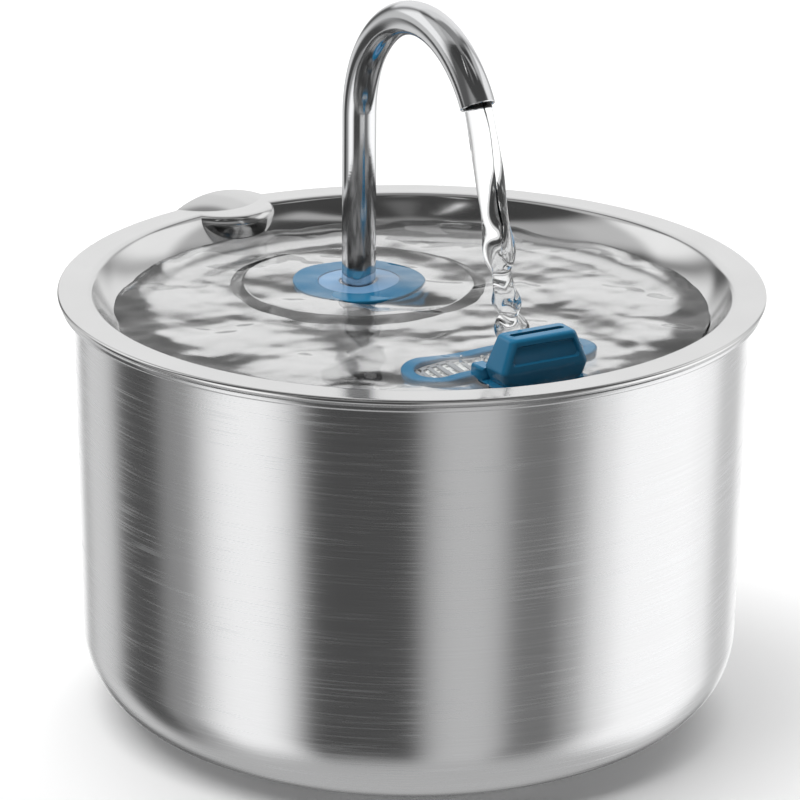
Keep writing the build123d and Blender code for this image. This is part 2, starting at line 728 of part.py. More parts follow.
with BuildPart() as rear_bush:
    barrel(rotor_x, rotor_z, bush_radius, well_back_y, bush_length)
    barrel(rotor_x, rotor_z, shaft_radius + bond_gap, well_back_y, bush_length, Mode.SUBTRACT)
save(rear_bush, "rear_bush")

with BuildPart() as pump_shaft:
    barrel(rotor_x, rotor_z, shaft_radius, chamber_cover_y, rear_seat_y - chamber_cover_y)
save(pump_shaft, "pump_shaft")

# laminated core astride the rotor's well, with the winding round its bridge
core_front_y = motor_front_y + core_start
core_top_z = core_bridge_z + core_bridge
with BuildPart() as stator_core:
    with BuildSketch(across(core_front_y)):
        with Locations((rotor_x, (core_foot_z + core_top_z) / 2)):
            Rectangle(core_width, core_top_z - core_foot_z)
        with Locations((rotor_x, (core_foot_z + core_bridge_z) / 2)):
            Rectangle(core_width - 2 * core_limb, core_bridge_z - core_foot_z, mode=Mode.SUBTRACT)
    extrude(amount=-core_length)
save(stator_core, "stator_core")

with BuildPart() as stator_coil:
    with BuildSketch(Plane.YZ.offset(rotor_x - coil_length / 2)):
        with Locations((core_front_y + core_length / 2, (core_bridge_z + core_top_z) / 2)):
            RectangleRounded(core_length + 2 * coil_build, core_bridge + 2 * coil_build, coil_round)
            Rectangle(core_length + 2 * bond_gap, core_bridge + 2 * bond_gap, mode=Mode.SUBTRACT)
    extrude(amount=coil_length)
save(stator_coil, "stator_coil")

gland_axis_x, gland_axis_z = gland_centre
with BuildPart() as pump_back_cover:
    block(
        rotor_x,
        housing_centre_z,
        housing_width,
        housing_height,
        housing_round,
        housing_back_y,
        back_cover_thickness,
    )
    barrel(
        gland_axis_x,
        gland_axis_z,
        gland_neck_radius + bond_gap,
        housing_back_y,
        back_cover_thickness,
        Mode.SUBTRACT,
    )
save(pump_back_cover, "pump_back_cover")

gland_seat_y = housing_back_y + back_cover_thickness
gland_end_y = gland_seat_y + gland_flange + gland_length
with BuildPart() as cable_gland:
    with BuildSketch(Plane(origin=(gland_axis_x, 0, gland_axis_z), x_dir=(0, 1, 0), z_dir=(1, 0, 0))):
        with BuildLine():
            Polyline(
                (housing_back_y, gland_bore_radius),
                (housing_back_y, gland_neck_radius),
                (gland_seat_y, gland_neck_radius),
                (gland_seat_y, gland_radius),
                (gland_seat_y + gland_flange, gland_radius),
                (gland_seat_y + gland_flange, gland_radius - gland_wall),
                (gland_end_y, gland_bore_radius + gland_wall),
                (gland_end_y, gland_bore_radius),
                close=True,
            )
        make_face()
    revolve(axis=Axis((gland_axis_x, 0, gland_axis_z), (0, 1, 0)))
save(cable_gland, "cable_gland")

with BuildPart() as one_cup:
    with BuildSketch(Plane.XZ):
        with BuildLine():
            Polyline(
                (0, bowl_floor_z + cup_hollow),
                (cup_radius - cup_lip, bowl_floor_z),
                (cup_radius, bowl_floor_z),
                (cup_radius, bowl_floor_z + cup_lip),
                (cup_collar_radius, housing_bottom_z - cup_lip),
                (cup_collar_radius, housing_bottom_z),
                (cup_peg_radius, housing_bottom_z),
                (cup_peg_radius, cup_top_z),
                (0, cup_top_z),
                close=True,
            )
        make_face()
    revolve(axis=Axis.Z)
with BuildPart() as suction_cups:
    with Locations((rotor_x, cup_centre_y)):
        with GridLocations(cup_spacing_x, cup_spacing_y, 2, 2):
            add(one_cup.part)
save(suction_cups, "suction_cups")

# ----------------------------------------------------------------- rotor
sleeve_front_y = chamber_front_y + sleeve_end_gap
sleeve_length = well_back_y - sleeve_end_gap - sleeve_front_y
blade_front_y = chamber_front_y + impeller_front_gap
blade_tip_radius = impeller_radius - blade_thickness / 2
blade_sweep_angle = math.radians(blade_sweep)
blade_tip = (blade_tip_radius * math.cos(blade_sweep_angle), blade_tip_radius * math.sin(blade_sweep_angle))
with BuildSketch(Plane.XY) as blade:
    with BuildLine():
        RadiusArc((sleeve_radius - blade_thickness / 2, 0), blade_tip, -blade_curve_radius)
    trace(line_width=blade_thickness)
with BuildPart() as impeller:
    barrel(rotor_x, rotor_z, sleeve_radius, sleeve_front_y, sleeve_length)
    barrel(rotor_x, rotor_z, impeller_radius, blade_front_y + blade_depth, impeller_disc)
    with BuildSketch(across(blade_front_y)):
        with Locations((rotor_x, rotor_z)):
            with PolarLocations(0, blade_count):
                add(blade.sketch)
    extrude(amount=-(blade_depth + impeller_disc / 2))
    barrel(rotor_x, rotor_z, shaft_radius + running_gap, sleeve_front_y, sleeve_length, Mode.SUBTRACT)
save(impeller, "impeller")

magnet_front_y = chamber_back_y + magnet_start
with BuildPart() as rotor_magnet:
    barrel(rotor_x, rotor_z, well_radius - magnet_gap, magnet_front_y, magnet_length)
    barrel(rotor_x, rotor_z, sleeve_radius + bond_gap, magnet_front_y, magnet_length, Mode.SUBTRACT)
save(rotor_magnet, "rotor_magnet")


# ----------------------------------------------------------------- intake
def windows(front_y, length):
    """Ring of round windows about the rotor's axis, cut through a plate."""
    with BuildSketch(across(front_y)) as section:
        with Locations((rotor_x, rotor_z)):
            with PolarLocations(window_circle, window_count):
                Circle(window_radius)
    extrude(section.sketch, amount=-length, mode=Mode.SUBTRACT)


with BuildPart() as intake_cover:
    block(rotor_x, housing_centre_z, housing_width, housing_height, housing_round, intake_front_y, intake_depth)
    block(
        rotor_x,
        housing_centre_z,
        intake_inner_width,
        intake_inner_height,
        intake_inner_round,
        intake_front_y + intake_wall,
        intake_depth - intake_wall,
        Mode.SUBTRACT,
    )
    windows(intake_front_y, intake_wall)
    barrel(rotor_x, rotor_z, dial_pin_radius + running_gap, intake_front_y, intake_wall, Mode.SUBTRACT)
    with BuildSketch(Plane.YZ.offset(rotor_x)):
        with Locations((intake_front_y + intake_depth / 2, housing_centre_z)):
            with GridLocations(side_slot_pitch, 0, side_slot_count, 1):
                SlotOverall(side_slot_height, side_slot_width, rotation=90)
    extrude(amount=housing_width, both=True, mode=Mode.SUBTRACT)
save(intake_cover, "intake_cover")

with BuildPart() as intake_foam:
    foam_front_y = intake_front_y + intake_wall
    block(
        rotor_x, housing_centre_z, inset_width, inset_height, inset_round, foam_front_y, intake_foam_thickness
    )
save(intake_foam, "intake_foam")

dial_front_y = intake_front_y - lift_gap - dial_thickness
with BuildPart() as flow_dial:
    barrel(rotor_x, rotor_z, dial_radius, dial_front_y, dial_thickness)
    windows(dial_front_y, dial_thickness)
    with BuildSketch(across(dial_front_y - dial_bar_height)):
        with Locations((rotor_x, rotor_z)):
            RectangleRounded(dial_bar_width, dial_bar_length, dial_bar_width / 3)
    extrude(amount=-(dial_bar_height + dial_thickness / 2))
    barrel(rotor_x, rotor_z, dial_pin_radius, dial_front_y, dial_thickness + intake_wall)
save(flow_dial, "flow_dial")
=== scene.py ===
"""Looks of a round steel pet water fountain with a swan-neck faucet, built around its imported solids.

Metres, +Z up. The faucet, its platform and the filter cassette stand on the YZ plane.
"""

import json
import logging
import math
from dataclasses import dataclass
from enum import Enum
from typing import Any, Callable, Optional, Sequence, Union

import bmesh
import bpy
import numpy as np
from mathutils import Matrix, Vector
from mathutils.geometry import delaunay_2d_cdt

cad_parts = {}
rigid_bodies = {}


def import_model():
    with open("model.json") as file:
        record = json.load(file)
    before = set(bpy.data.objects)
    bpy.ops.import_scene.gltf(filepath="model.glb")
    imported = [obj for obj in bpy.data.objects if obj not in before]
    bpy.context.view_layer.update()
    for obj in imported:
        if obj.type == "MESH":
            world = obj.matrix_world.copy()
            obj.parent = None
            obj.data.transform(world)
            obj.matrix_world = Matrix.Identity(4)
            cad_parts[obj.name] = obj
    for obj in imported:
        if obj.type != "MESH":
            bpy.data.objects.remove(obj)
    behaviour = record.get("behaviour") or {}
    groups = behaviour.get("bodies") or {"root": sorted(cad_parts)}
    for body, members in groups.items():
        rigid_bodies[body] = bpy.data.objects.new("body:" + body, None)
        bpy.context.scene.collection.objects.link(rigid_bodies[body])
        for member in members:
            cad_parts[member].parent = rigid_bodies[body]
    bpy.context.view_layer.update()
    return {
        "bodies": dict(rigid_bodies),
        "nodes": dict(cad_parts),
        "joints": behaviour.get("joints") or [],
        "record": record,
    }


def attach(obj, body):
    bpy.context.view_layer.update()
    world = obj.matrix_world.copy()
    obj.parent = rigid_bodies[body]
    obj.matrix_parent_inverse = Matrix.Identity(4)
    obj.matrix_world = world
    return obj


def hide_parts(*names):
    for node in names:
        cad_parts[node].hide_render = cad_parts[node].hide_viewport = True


LOG = logging.getLogger("fountain")
MM = 0.001
FULL_TURN = 2 * math.pi

Pair = tuple[float, float]
Point = Pair
Triple = tuple[float, float, float]
Colour = Triple
Mesh = bmesh.types.BMesh


# ---------------------------------------------------------------------------
# Node maths
# ---------------------------------------------------------------------------
def operator(operation: str, reflected: bool = False) -> Callable[["Value", Any], "Value"]:
    """Make an operator that adds a Math node.

    Args:
        operation: The node's operation.
        reflected: True where the value is the second operand.

    Returns:
        A method for Value.
    """

    def method(value: "Value", other: Any) -> "Value":
        """Apply the operation to two operands."""
        return value.graph.maths(operation, *((other, value) if reflected else (value, other)))

    return method


class Value:
    """A node's output socket that can be used in Python expressions."""

    __add__, __radd__ = operator("ADD"), operator("ADD", True)
    __sub__, __rsub__ = operator("SUBTRACT"), operator("SUBTRACT", True)
    __mul__, __rmul__ = operator("MULTIPLY"), operator("MULTIPLY", True)
    __truediv__, __rtruediv__ = operator("DIVIDE"), operator("DIVIDE", True)
    __pow__, __rpow__ = operator("POWER"), operator("POWER", True)

    def __init__(self, graph: "Graph", socket: Any) -> None:
        """Wrap a socket of this graph."""
        self.graph = graph
        self.socket = socket

    def smooth(self, low: float, high: float) -> "Value":
        """Rise smoothly from 0 at low to 1 at high."""
        inputs = {"Value": self, "From Min": low, "From Max": high}
        return self.graph.node("ShaderNodeMapRange", inputs, {"interpolation_type": "SMOOTHSTEP"})


class Graph:
    """A node tree with one generic way to add a node."""

    def __init__(self, tree: Any) -> None:
        """Take over a node tree and empty it."""
        self.tree = tree
        tree.nodes.clear()

    def node(
        self,
        kind: str,
        inputs: Optional[dict[Any, Any]] = None,
        settings: Optional[dict[str, Any]] = None,
        output: Any = 0,
    ) -> Value:
        """Add a node, set it up and fill its sockets.

        Args:
            kind: The node's type, such as "ShaderNodeTexNoise".
            inputs: Values or links by socket name or number.
            settings: Properties of the node, set before its inputs.
            output: Name or number of the socket to return.

        Returns:
            The chosen output socket.
        """
        made = self.tree.nodes.new(kind)
        for name, value in (settings or {}).items():
            setattr(made, name, value)
        for name, value in (inputs or {}).items():
            socket = made.inputs[name]
            if isinstance(value, Value):
                self.tree.links.new(value.socket, socket)
            else:
                socket.default_value = value
        return Value(self, made.outputs[output] if made.outputs else None)

    def maths(self, operation: str, *operands: Any) -> Value:
        """Add a Math node on these operands."""
        return self.node("ShaderNodeMath", dict(enumerate(operands)), {"operation": operation})


class Shader(Graph):
    """A node tree for a material or the world."""

    def position(self, scale: Triple = (1, 1, 1), offset: Triple = (0, 0, 0)) -> Value:
        """Object coordinates, scaled and then moved."""
        where = self.node("ShaderNodeTexCoord", output="Object")
        return self.node("ShaderNodeMapping", {"Vector": where, "Scale": scale, "Location": offset})

    def noise(
        self,
        scale: Union[float, Triple],
        detail: float = 2.0,
        roughness: float = 0.5,
        offset: Triple = (0, 0, 0),
    ) -> Value:
        """Noise around 0.5.

        Args:
            scale: Cells per metre, the same on all axes or one for each.
            detail: Number of finer layers.
            roughness: Weight of the finer layers.
            offset: Shift of the pattern, in cells.

        Returns:
            The noise.
        """
        where = self.position((scale,) * 3 if isinstance(scale, float) else scale, offset)
        inputs = {"Vector": where, "Scale": 1.0, "Detail": detail, "Roughness": roughness}
        return self.node("ShaderNodeTexNoise", inputs)

    def mix(self, factor: Any, first: Any, second: Any) -> Value:
        """Mix two colours, the second by this factor."""
        inputs = {0: factor, 6: self.rgba(first), 7: self.rgba(second)}
        return self.node("ShaderNodeMix", inputs, {"data_type": "RGBA"}, output=2)

    def mottled(self, factor: Value, colour: Colour, spread: float) -> Value:
        """Vary a colour between darker and lighter by this share."""
        return self.mix(factor, faded(colour, 1 - spread), faded(colour, 1 + spread))

    def bump(self, height: Value, strength: float, distance: float) -> Value:
        """Turn a height from 0 to 1 into a normal, with the full height in metres."""
        return self.node("ShaderNodeBump", {"Height": height, "Strength": strength, "Distance": distance})

    @staticmethod
    def rgba(colour: Any) -> Any:
        """Give a plain colour its alpha."""
        return colour if isinstance(colour, Value) else (*colour, 1.0)


def faded(colour: Colour, factor: float) -> Colour:
    """A colour times a factor, no brighter than white."""
    return tuple(min(1.0, channel * factor) for channel in colour)


class Material(Shader):
    """A procedural material that ends in one Principled shader."""

    def __init__(self, name: str) -> None:
        """Make an empty material with this name.

        Args:
            name: Name of the material.
        """
        self.data = bpy.data.materials.new(name)
        self.data.use_nodes = True
        super().__init__(self.data.node_tree)

    def surface(self, clear_shadow: bool = False, **sockets: Any) -> "Material":
        """Finish the material with a Principled shader.

        Args:
            clear_shadow: True for a material that lets lamp light straight through.
            **sockets: Values or links by socket name, with underscores for spaces.

        Returns:
            This material.
        """
        inputs: dict[str, Any] = {}
        for name, value in sockets.items():
            key = name.replace("_", " ").title().replace("Ior", "IOR")
            inputs[key] = self.rgba(value) if key == "Base Color" else value
        shader = self.node("ShaderNodeBsdfPrincipled", inputs)
        if clear_shadow:
            shadow = self.node("ShaderNodeLightPath", output="Is Shadow Ray")
            open_way = self.node("ShaderNodeBsdfTransparent")
            shader = self.node("ShaderNodeMixShader", {0: shadow, 1: shader, 2: open_way})
        self.node("ShaderNodeOutputMaterial", {"Surface": shader})
        return self


# ---------------------------------------------------------------------------
# Finishes. Each one's cover() fills an empty material.
# ---------------------------------------------------------------------------
@dataclass(frozen=True)
class BrushedSteel:
    """Stainless sheet, brushed round the object's axis."""

    colour: Colour = (0.697, 0.698, 0.703)
    streak: Colour = (0.90, 0.91, 0.92)
    roughness: float = 0.22
    anisotropy: float = 0.75
    spread: float = 0.05
    line: Triple = (36.0, 36.0, 2400.0)
    hairline: Triple = (16.0, 16.0, 3600.0)
    line_range: Pair = (0.48, 0.70)
    patch: Triple = (22.0, 22.0, 45.0)
    patch_offset: Triple = (3.0, 1.0, 0.0)
    patch_range: Pair = (0.30, 0.65)
    fewest: float = 0.40
    whiteness: float = 0.35
    relief: float = 0.12
    depth: float = 0.00002

    def cover(self, shade: Material) -> Material:
        """Draw patches of fine, pale scratches that run round the bowl, over fainter hairlines.

        Args:
            shade: Empty material to fill.

        Returns:
            The material.
        """
        hairs = shade.noise(self.hairline, roughness=0.6)
        patches = shade.noise(self.patch, offset=self.patch_offset).smooth(*self.patch_range)
        scratches = shade.noise(self.line).smooth(*self.line_range) * (patches + self.fewest)
        steel = shade.mottled(hairs, self.colour, self.spread)
        return shade.surface(
            base_color=shade.mix(scratches * self.whiteness, steel, self.streak),
            metallic=1.0,
            roughness=self.roughness + scratches * 0.08 + (hairs - 0.5) * 0.05,
            anisotropic=self.anisotropy,
            anisotropic_rotation=0.25,
            normal=shade.bump(hairs, self.relief, self.depth),
        )


@dataclass(frozen=True)
class SmoothSteel:
    """Stainless steel with a soft, even polish."""

    colour: Colour
    roughness: float
    line: Triple
    haze: float
    haze_detail: float = 2.0
    spread: float = 0.03
    haze_weight: float = 0.0
    line_weight: float = 0.05
    relief: float = 0.3
    depth: float = 0.00002

    def cover(self, shade: Material) -> Material:
        """Draw faint clouding, and hairlines round the axis.

        Args:
            shade: Empty material to fill.

        Returns:
            The material.
        """
        haze = shade.noise(self.haze, self.haze_detail)
        lines = shade.noise(self.line)
        uneven = (haze - 0.5) * self.haze_weight + (lines - 0.5) * self.line_weight
        return shade.surface(
            base_color=shade.mottled(haze, self.colour, self.spread),
            metallic=1.0,
            roughness=self.roughness + uneven,
            normal=shade.bump(lines, self.relief, self.depth),
        )


@dataclass(frozen=True)
class Moulded:
    """Moulded plastic or rubber with a fine texture."""

    colour: Colour
    roughness: float = 0.35
    relief: float = 0.00004
    mottle: float = 0.06
    coat: float = 0.0
    metal: float = 0.0
    gloss: float = 0.5
    grain: float = 900.0
    flow: Triple = (60.0, 60.0, 150.0)

    def cover(self, shade: Material) -> Material:
        """Draw a slight mottle, a fine grain and a worn sheen.

        Args:
            shade: Empty material to fill.

        Returns:
            The material.
        """
        flow = shade.noise(self.flow, 3.0)
        return shade.surface(
            base_color=shade.mottled(flow, self.colour, self.mottle),
            roughness=self.roughness + (flow - 0.5) * 0.12,
            coat_weight=self.coat,
            coat_roughness=0.12,
            specular_ior_level=self.gloss,
            metallic=self.metal,
            normal=shade.bump(shade.noise(self.grain), 0.2, self.relief),
        )


@dataclass(frozen=True)
class Foam:
    """Open-cell foam or packed granules."""

    colour: Colour
    cell: float = 700.0
    relief: float = 0.0006

    def cover(self, shade: Material) -> Material:
        """Draw cells that sink between pale walls, with painted shade darkening each cell's hollow.

        Args:
            shade: Empty material to fill.

        Returns:
            The material.
        """
        inputs = {"Vector": shade.position(), "Scale": self.cell}
        depth = shade.node("ShaderNodeTexVoronoi", inputs, {"feature": "F1"}).smooth(0.1, 0.75)
        return shade.surface(
            # painted shade: the base colour darkens towards each cell's hollow, by the same mask as the bump
            base_color=shade.mix(depth, faded(self.colour, 0.35), self.colour),
            roughness=0.9,
            normal=shade.bump(depth, 0.7, self.relief),
        )


@dataclass(frozen=True)
class Laminated:
    """Stacked sheet or wound wire, ribbed along one axis."""

    colour: Colour
    pitch: float
    direction: str = "Y"
    metal: float = 0.8
    roughness: float = 0.4

    def cover(self, shade: Material) -> Material:
        """Draw evenly spaced dark grooves along the axis.

        Args:
            shade: Empty material to fill.

        Returns:
            The material.
        """
        settings = {"wave_type": "BANDS", "bands_direction": self.direction}
        inputs = {"Vector": shade.position(), "Scale": math.pi / 10 / self.pitch, "Distortion": 0.0}
        wave = shade.node("ShaderNodeTexWave", inputs, settings, output="Fac")
        return shade.surface(
            base_color=shade.mix(wave, faded(self.colour, 0.4), self.colour),
            metallic=self.metal,
            roughness=self.roughness,
            normal=shade.bump(wave, 0.6, self.pitch * 0.3),
        )


@dataclass(frozen=True)
class ClearWater:
    """Clean water."""

    tint: Colour = (0.985, 0.992, 0.995)
    refraction: float = 1.333
    gloss: float = 0.3
    shimmer: float = 260.0

    def cover(self, shade: Material) -> Material:
        """Draw a faint shimmer in a clear surface.

        Args:
            shade: Empty material to fill.

        Returns:
            The material.
        """
        shimmer = shade.noise(self.shimmer)
        return shade.surface(
            base_color=shade.mix(shimmer, self.tint, (1.0, 1.0, 1.0)),
            roughness=0.0,
            ior=self.refraction,
            specular_ior_level=self.gloss,
            transmission_weight=1.0,
            normal=shade.bump(shimmer, 0.08, 0.0001),
            clear_shadow=True,
        )


class Finish(Enum):
    """The finishes, named after the record's material slots where they have one."""

    BRUSHED_STEEL = BrushedSteel()
    SATIN_STEEL = SmoothSteel(
        (0.70, 0.70, 0.70),
        0.13,
        line=(40.0, 40.0, 1800.0),
        haze=55.0,
        haze_detail=3.0,
        spread=0.05,
        haze_weight=0.03,
        line_weight=0.03,
        relief=0.08,
        depth=0.00001,
    )
    POLISHED_STEEL = SmoothSteel((0.72, 0.725, 0.735), 0.10, line=(60.0, 60.0, 2600.0), haze=90.0)
    BLUE_PLASTIC = Moulded((0.012, 0.142, 0.270), 0.17, relief=0.00002, mottle=0.05, gloss=0.38)
    PALE_BLUE_SILICONE = Moulded((0.17, 0.33, 0.52), 0.40, gloss=0.3)
    GREY_PLASTIC = Moulded((0.30, 0.31, 0.32), 0.4)
    FROSTED_PLASTIC = Moulded((0.62, 0.66, 0.68), 0.3, coat=0.2)
    WHITE_FOAM = Foam((0.80, 0.81, 0.79))
    BLACK_FOAM = Foam((0.03, 0.03, 0.032), 450.0)
    CARBON = Foam((0.03, 0.03, 0.031), 650.0)
    BLACK_RUBBER = Moulded((0.02, 0.02, 0.021), 0.6)
    CLEAR_RUBBER = Moulded((0.60, 0.62, 0.61), 0.3, coat=0.2)
    BLACK_PLASTIC = Moulded((0.022, 0.022, 0.024), 0.38, relief=0.00008)
    GREY_PUMP_PLASTIC = Moulded((0.06, 0.062, 0.065), 0.4)
    WHITE_PLASTIC = Moulded((0.72, 0.72, 0.70), 0.3, coat=0.2)
    LAMINATED_IRON = Laminated((0.16, 0.16, 0.165), 0.0005)
    COPPER_WINDING = Laminated((0.46, 0.17, 0.06), 0.0004, direction="X")
    CERAMIC = Moulded((0.80, 0.79, 0.75), 0.12, coat=0.5)
    FERRITE = Moulded((0.045, 0.045, 0.05), 0.4, metal=0.4)
    WATER = ClearWater()

    @property
    def material(self) -> Any:
        """The finish's Blender material, built on first use."""
        name = f"{self.name.lower()}_finish"
        return bpy.data.materials.get(name) or self.value.cover(Material(name)).data


# ---------------------------------------------------------------------------
# Plane geometry
# ---------------------------------------------------------------------------
def polar(radius: float, angle: float, centre: Sequence[float] = (0.0, 0.0)) -> Point:
    """Point at this distance and angle, in radians, from a centre."""
    return centre[0] + radius * math.cos(angle), centre[1] + radius * math.sin(angle)


def arc(centre: Point, radius: float, start: float, end: float, steps: int) -> list[Point]:
    """Points along a circular arc, both ends included.

    Args:
        centre: Centre of the arc.
        radius: Its radius.
        start: First angle in degrees.
        end: Last angle in degrees.
        steps: Number of steps between them.

    Returns:
        The points.
    """
    return [polar(radius, angle, centre) for angle in np.radians(np.linspace(start, end, steps + 1))]


def rounded(corners: Sequence[Triple], steps: int = 8) -> list[Point]:
    """Round the corners of an open line.

    Args:
        corners: X, Y and rounding radius of each corner; a radius of 0 leaves it sharp.
        steps: Number of steps in each rounding.

    Returns:
        The points of the rounded line.
    """
    points: list[Point] = []
    for index, (x, y, radius) in enumerate(corners):
        if radius == 0 or index in (0, len(corners) - 1):
            points.append((x, y))
            continue
        here = Vector((x, y))
        before = (Vector(corners[index - 1][:2]) - here).normalized()
        after = (Vector(corners[index + 1][:2]) - here).normalized()
        half = before.angle(after) / 2
        centre = here + (before + after).normalized() * (radius / math.sin(half))
        start = here + before * (radius / math.tan(half)) - centre
        end = here + after * (radius / math.tan(half)) - centre
        first = math.atan2(start.y, start.x)
        turn = math.atan2(start.x * end.y - start.y * end.x, start.dot(end))
        points += [polar(radius, first + turn * step / steps, centre) for step in range(steps + 1)]
    return points


def rounded_block(length: float, width: float, radius: float, y: float, steps: int = 8) -> list[Point]:
    """Closed outline of a rectangle with rounded corners, counter-clockwise.

    Args:
        length: Size along X.
        width: Size along Y.
        radius: Radius of its corners.
        y: Y of its centre; its X is 0.
        steps: Number of steps in each corner.

    Returns:
        The points, the first not repeated.
    """
    points: list[Point] = []
    for side_x, side_y, start in ((1, 1, 0), (-1, 1, 90), (-1, -1, 180), (1, -1, 270)):
        centre = (side_x * (length / 2 - radius), y + side_y * (width / 2 - radius))
        points += arc(centre, radius, start, start + 90, steps)
    return points


def level_ring(points: Sequence[Point], height: float) -> list[Vector]:
    """Lay an outline flat at this height."""
    return [Vector((x, y, height)) for x, y in points]


def inside(place: Vector, outline: Sequence[Vector]) -> bool:
    """Tell whether a point lies inside a closed outline.

    Args:
        place: The point.
        outline: Corners of the outline, the first not repeated.

    Returns:
        True inside.
    """
    within = False
    for first, second in zip(outline, [*outline[1:], outline[0]]):
        if (first.y > place.y) != (second.y > place.y):
            crossing = first.x + (place.y - first.y) / (second.y - first.y) * (second.x - first.x)
            within ^= place.x < crossing
    return within


# ---------------------------------------------------------------------------
# Mesh making. Rings are in millimetres, meshes in metres.
# ---------------------------------------------------------------------------
def link(name: str, data: Any) -> Any:
    """Put a new object with this data into the scene.

    Args:
        name: Name of the object.
        data: Its mesh, lamp or camera.

    Returns:
        The object.
    """
    holder = bpy.data.objects.new(name, data)
    bpy.context.scene.collection.objects.link(holder)
    return holder


def as_object(name: str, mesh: Mesh) -> Any:
    """Turn a bmesh, which is freed, into an object at the origin.

    Args:
        name: Name of the object and of its mesh.
        mesh: What it holds.

    Returns:
        The object.
    """
    data = bpy.data.meshes.new(name)
    mesh.to_mesh(data)
    mesh.free()
    return link(name, data)


def discard(holder: Any) -> None:
    """Remove an object and its mesh.

    Args:
        holder: The object.
    """
    data = holder.data
    bpy.data.objects.remove(holder)
    bpy.data.meshes.remove(data)


def evaluated(host: Any) -> Mesh:
    """Mesh of an object with its modifiers applied.

    Args:
        host: The object.

    Returns:
        The mesh.
    """
    graph = bpy.context.evaluated_depsgraph_get()
    data = bpy.data.meshes.new_from_object(host.evaluated_get(graph), depsgraph=graph)
    mesh = bmesh.new()
    mesh.from_mesh(data)
    bpy.data.meshes.remove(data)
    return mesh


def turned(profile: Sequence[Point], segments: int, centre: Point = (0.0, 0.0)) -> list[list[Vector]]:
    """Rings of points about an upright axis.

    Args:
        profile: Radius and height of each ring; a radius of 0 gives a pole of one point.
        segments: Number of points in each ring.
        centre: X and Y of the axis.

    Returns:
        The rings.
    """
    turns = [FULL_TURN * step / segments for step in range(segments)]
    return [
        [Vector((*polar(radius, turn, centre), height)) for turn in (turns if radius else turns[:1])]
        for radius, height in profile
    ]


def hoop(centre: Vector, along: Vector, radii: Sequence[float]) -> list[Vector]:
    """Ring of points, one for each radius, about an axis at right angles to X.

    Args:
        centre: Centre of the ring.
        along: Direction of the axis.
        radii: Radius of each point.

    Returns:
        The points.
    """
    side = Vector((1, 0, 0))
    front = along.cross(side).normalized()
    points = []
    for step, radius in enumerate(radii):
        across, up = polar(1.0, FULL_TURN * step / len(radii))
        points.append(centre + (side * across + front * up) * radius)
    return points


def add_rings(mesh: Mesh, rings: Sequence[Sequence[Vector]]) -> list[list[Any]]:
    """Add rings of points to a mesh and join each ring to the next with faces.

    Args:
        mesh: The mesh.
        rings: Rings with as many points each, apart from poles of one point.

    Returns:
        The rings' vertices.
    """
    made = [[mesh.verts.new(point * MM) for point in ring] for ring in rings]
    for low, high in zip(made, made[1:]):
        join_rings(mesh, low, high)
    return made


def join_rings(mesh: Mesh, low: Sequence[Any], high: Sequence[Any]) -> None:
    """Join two rings of vertices with faces; either may be a pole.

    Args:
        mesh: Mesh that the rings belong to.
        low: One ring.
        high: The other ring.
    """
    count = max(len(low), len(high))
    for step in range(count):
        after = (step + 1) % count
        corners = [low[place % len(low)] for place in (step, after)]
        corners += [high[place % len(high)] for place in (after, step)]
        unique = list(dict.fromkeys(corners))
        if len(unique) > 2:
            mesh.faces.new(unique)


def skin(rings: Sequence[Sequence[Vector]], capped: bool = False) -> Mesh:
    """Skin a row of rings with faces.

    Args:
        rings: Rings with as many points each, apart from poles of one point.
        capped: True to close both ends with flat faces. Else they are joined, unless one is a pole.

    Returns:
        A closed mesh with its faces outwards.
    """
    mesh = bmesh.new()
    made = add_rings(mesh, rings)
    first, last = made[0], made[-1]
    if capped:
        mesh.faces.new(first)
        mesh.faces.new(last)
    elif len(first) == len(last) > 1:
        join_rings(mesh, last, first)
    bmesh.ops.recalc_face_normals(mesh, faces=mesh.faces)
    return mesh


def lathe(profile: Sequence[Point], segments: int, centre: Point = (0.0, 0.0)) -> Mesh:
    """Turn a profile of radii and heights about an upright axis into a closed mesh."""
    return skin(turned(profile, segments, centre))


def prism(outline: Sequence[Point], low: float, high: float) -> Mesh:
    """Upright block with this outline between two heights."""
    return skin([level_ring(outline, height) for height in (low, high)], capped=True)


class Step(Enum):
    """What a carving step does with its form."""

    ADD = "UNION"
    CUT = "DIFFERENCE"
    KEEP = "INTERSECT"


def carve(body: Mesh, *steps: tuple[Step, Mesh]) -> Mesh:
    """Add closed forms to a closed mesh, or cut them from it.

    Args:
        body: Mesh to work on; it is freed here.
        *steps: What to do and a mesh to do it with, in order. The meshes are freed.

    Returns:
        The worked mesh.
    """
    worked = as_object("carving", body)
    tools = [as_object("carving", mesh) for _, mesh in steps]
    for (step, _), tool in zip(steps, tools):
        modifier = worked.modifiers.new("carving", "BOOLEAN")
        modifier.operation, modifier.object, modifier.solver = step.value, tool, "MANIFOLD"
    result = evaluated(worked)
    for holder in (worked, *tools):
        discard(holder)
    return result


